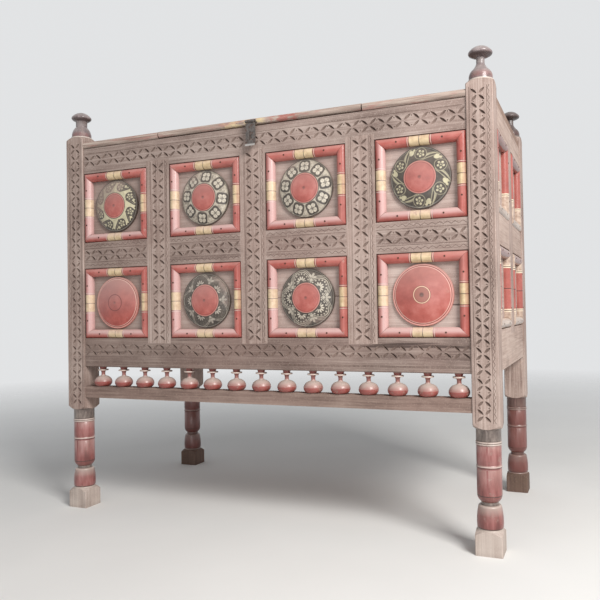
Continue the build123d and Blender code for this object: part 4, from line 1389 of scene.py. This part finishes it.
# %% Spindles
SPINDLE_FOOT = 0.4345
SPINDLE_SHOULDER = 0.474
SPINDLE_PALE_RING = 0.4895
SPINDLE_TOP = 0.4922


def spindle_lacquer():
    finish = Finish("lacquer_spindles")
    height = finish.z
    worn = wear(finish, 0.6, (60, 60, 60))
    dust_and_painted_sheen = finish.facing(UP).op("POWER", 0.9) * 0.88
    finish.laid = finish.over(0.6, red_lacquer(finish), (122, 66, 62))
    finish.coat(height.near(SPINDLE_PALE_RING, 0.0024, 0.0008), (208, 190, 178))
    finish.coat(height.near(SPINDLE_SHOULDER, 0.0125, 0.012) * 0.5, (152, 112, 104))
    finish.coat(height.above(SPINDLE_TOP, 0.0008) * 0.6, (116, 56, 50))
    finish.coat(worn * 0.55, (150, 124, 112))
    # Dust and a painted sheen on all that faces up.
    finish.coat(dust_and_painted_sheen, (198, 184, 174))
    finish.coat(height.below(SPINDLE_FOOT, 0.004) * 0.6, (70, 32, 30))
    return close_lacquer(finish, worn, dust_and_painted_sheen, finish.noise((160, 160, 300), detail=3) - worn * 0.6, 0.0004)


dress(spindle_lacquer(), "spindle_row")
spindle_low, spindle_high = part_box("spindle_row")
print("spindle row from and to, mm:", round(spindle_low.z / MM), round(spindle_high.z / MM))

# %% [markdown]
# The strip along the front edge of the top was red and cream once and is now mostly bare. Flakes of cream
# are left beside the hasp, flakes of red to the right of them, and thin remains here and there.

# %% Cap strips
CREAM = (224, 202, 160)
STRIP_TONES = ((128, 108, 98), (176, 156, 144), (210, 194, 180))
CREAM_MIDDLE = -0.03
RED_MIDDLE = 0.115


def strip_remains():
    finish = Finish("remains_of_paint_on_strip")
    grain = finish.noise((7, 200, 200), detail=5, rough=0.6, bend=0.3)
    cream_part = (finish.x - CREAM_MIDDLE).size().below(0.075, 0.02)
    red_part = (finish.x - RED_MIDDLE).size().below(0.05, 0.03)
    flakes = finish.noise((40, 90, 90), detail=4, rough=0.6).above(0.46, 0.1)
    scattered = finish.noise((9, 60, 60), detail=3).above(0.56, 0.08)
    finish.laid = finish.ramp(grain, (0.3, 0.5, 0.7), STRIP_TONES)
    finish.coat(cream_part * flakes * 0.85, CREAM)
    finish.coat(red_part * flakes * 0.7, (168, 84, 76))
    finish.coat(scattered * 0.5, (172, 116, 108))
    # Darker where the ambient occlusion finds hollows: dirt and a painted shade.
    finish.coat(finish.hollows(0.012).below(0.65, 0.8) * 0.5, (70, 54, 48))
    return finish.close(grain * 0.2 + 0.55, grain, 0.0006)


dress(strip_remains(), "cap_strips_fixed", "lid_cap_strip")
print("cream flakes around", CREAM_MIDDLE, "red flakes around", RED_MIDDLE)

# %% [markdown]
# The hasp, its eyes, the staple, the hinge pins and the nails are wrought iron. It is grey where hands
# polish it and brown with rust in the hollows, and the turned up lip of the hasp has a painted highlight
# where it catches the light.
# Roughness matters more than colour here: a bright edge on a dull plate is what reads as iron.

# %% Iron
LIP_HEIGHT = 7 * MM
RUST = (92, 62, 48)
IRON_PAINTED_HIGHLIGHT = (206, 201, 196)
IRON_DIRT = (30, 24, 22)


def wrought_iron(name, rust_level, shade, painted_highlight_below=None):
    finish = Finish(name)
    hammer = finish.noise((120, 120, 120), detail=3)
    grit = finish.noise((520, 520, 520), detail=4, rough=0.65)
    rust = finish.noise((70, 70, 70), detail=5, rough=0.7).above(rust_level, 0.12)
    dark_shade = [int(part * 0.72) for part in shade]
    finish.laid = finish.ramp(hammer, (0.3, 0.7), (dark_shade, shade))
    finish.coat(rust, RUST)
    if painted_highlight_below:
        # Painted highlight on the hasp's lip, where it catches the light.
        finish.coat(finish.z.below(painted_highlight_below, 3 * MM) * 0.75, IRON_PAINTED_HIGHLIGHT)
    finish.coat(finish.hollows(0.010).below(0.65, 0.8) * 0.8, IRON_DIRT)
    finish.shader.inputs["Metallic"].default_value = 0.55
    return finish.close(rust * 0.35 + grit * 0.15 + 0.36, hammer * 0.8 + grit * 0.3 + rust * 0.4, 0.0005)


hasp_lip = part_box("hasp")[0].z + LIP_HEIGHT
dress(wrought_iron("hasp_iron", 0.6, (122, 114, 110), hasp_lip), "hasp")
dress(wrought_iron("fitting_iron", 0.6, (122, 114, 110)), "hasp_eyes", "hasp_pin", "hasp_staple")
dress(wrought_iron("pin_iron", 0.46, (120, 110, 104)), "lid_pivot_pins")
dress(wrought_iron("nail_iron", 0.4, (84, 62, 56)), "moulding_nails")
print("the hasp's lip ends at, mm:", round(hasp_lip / MM))

# %% [markdown]
# The room is a pale floor under an even pale sky. The floor keeps the soft shadow of the legs. Further out
# it thins to nothing, so that floor and sky meet without a hard horizon.

# %% Floor
floor_mesh = bpy.data.meshes.new("studio_floor")
work = bmesh.new()
bmesh.ops.create_grid(work, x_segments=24, y_segments=24, size=9.0)
work.to_mesh(floor_mesh)
work.free()
put("studio_floor", floor_mesh)

FLOOR_TONES = ((232, 231, 228), (238, 237, 234))
floor_finish = Finish("pale_floor")
floor_tone = floor_finish.noise((1.4, 1.4, 1.4), detail=3)
floor_colour = floor_finish.ramp(floor_tone, (0.3, 0.7), FLOOR_TONES)
from_chest = (floor_finish.x.squared() + floor_finish.y.squared()).root()
floor_cover = from_chest.below(3.4, 4.2)
floor_finish.tree.links.new(floor_colour, floor_finish.shader.inputs["Base Color"])
floor_finish.tree.links.new(floor_cover.socket, floor_finish.shader.inputs["Alpha"])
floor_finish.shader.inputs["Roughness"].default_value = 0.9
floor_mesh.materials.append(floor_finish.material)
print("floor faces:", len(floor_mesh.polygons))

# %% [markdown]
# The sky lights the chest evenly, but its backdrop colour shows only to the camera, in reflections and
# through glass, so that a brighter backdrop adds no light to the chest.

# %% Sky
SKY_LIGHT = (0.31, 0.318, 0.33, 1)
BACKDROP = (0.76, 0.77, 0.78, 1)

sky = bpy.data.worlds.new("studio_sky")
bpy.context.scene.world = sky
sky.use_nodes = True
sky_tree = sky.node_tree
background = sky_tree.nodes["Background"]
light_path = sky_tree.nodes.new("ShaderNodeLightPath")
seen = Flow(sky_tree, light_path.outputs["Is Camera Ray"])
for kind in ("Is Glossy Ray", "Is Transmission Ray"):
    seen = (seen + Flow(sky_tree, light_path.outputs[kind])).op("MINIMUM", 1.0)
backdrop = sky_tree.nodes.new("ShaderNodeMix")
backdrop.data_type = "RGBA"
sky_tree.links.new(seen.socket, backdrop.inputs[0])
backdrop.inputs[6].default_value = SKY_LIGHT
backdrop.inputs[7].default_value = BACKDROP
sky_tree.links.new(backdrop.outputs[2], background.inputs["Color"])
background.inputs["Strength"].default_value = 1.0
print("sky light:", SKY_LIGHT[:3], "backdrop:", BACKDROP[:3])

# %% [markdown]
# The light on carved work has to come from one side, or the chips disappear. The main lamp is a large soft
# one, high on the right and in front. It leaves one slope of each leaf dark. A weaker and wider lamp
# straight in front lifts the shadows.

# %% Lamps
def lamp(name, place, aim, size, power, tint):
    data = bpy.data.lights.new(name, "AREA")
    data.shape = "SQUARE"
    data.size = size
    data.energy = power
    data.color = tint
    thing = put(name, data)
    thing.location = place
    thing.rotation_mode = "QUATERNION"
    thing.rotation_quaternion = (Vector(aim) - Vector(place)).to_track_quat("-Z", "Y")
    print(name, power, "W")


lamp("main_lamp", (2.9, -2.3, 2.9), (0.3, 0, 0.8), size=1.4, power=176, tint=(1.0, 0.985, 0.965))
lamp("fill_lamp", (0.6, -4.8, 1.2), (0, 0, 0.7), size=2.6, power=32, tint=(0.97, 0.985, 1.0))

# %% [markdown]
# Colours should come out about as written, so the view is the Standard one with no extra look.

bpy.context.scene.view_settings.view_transform = "Standard"
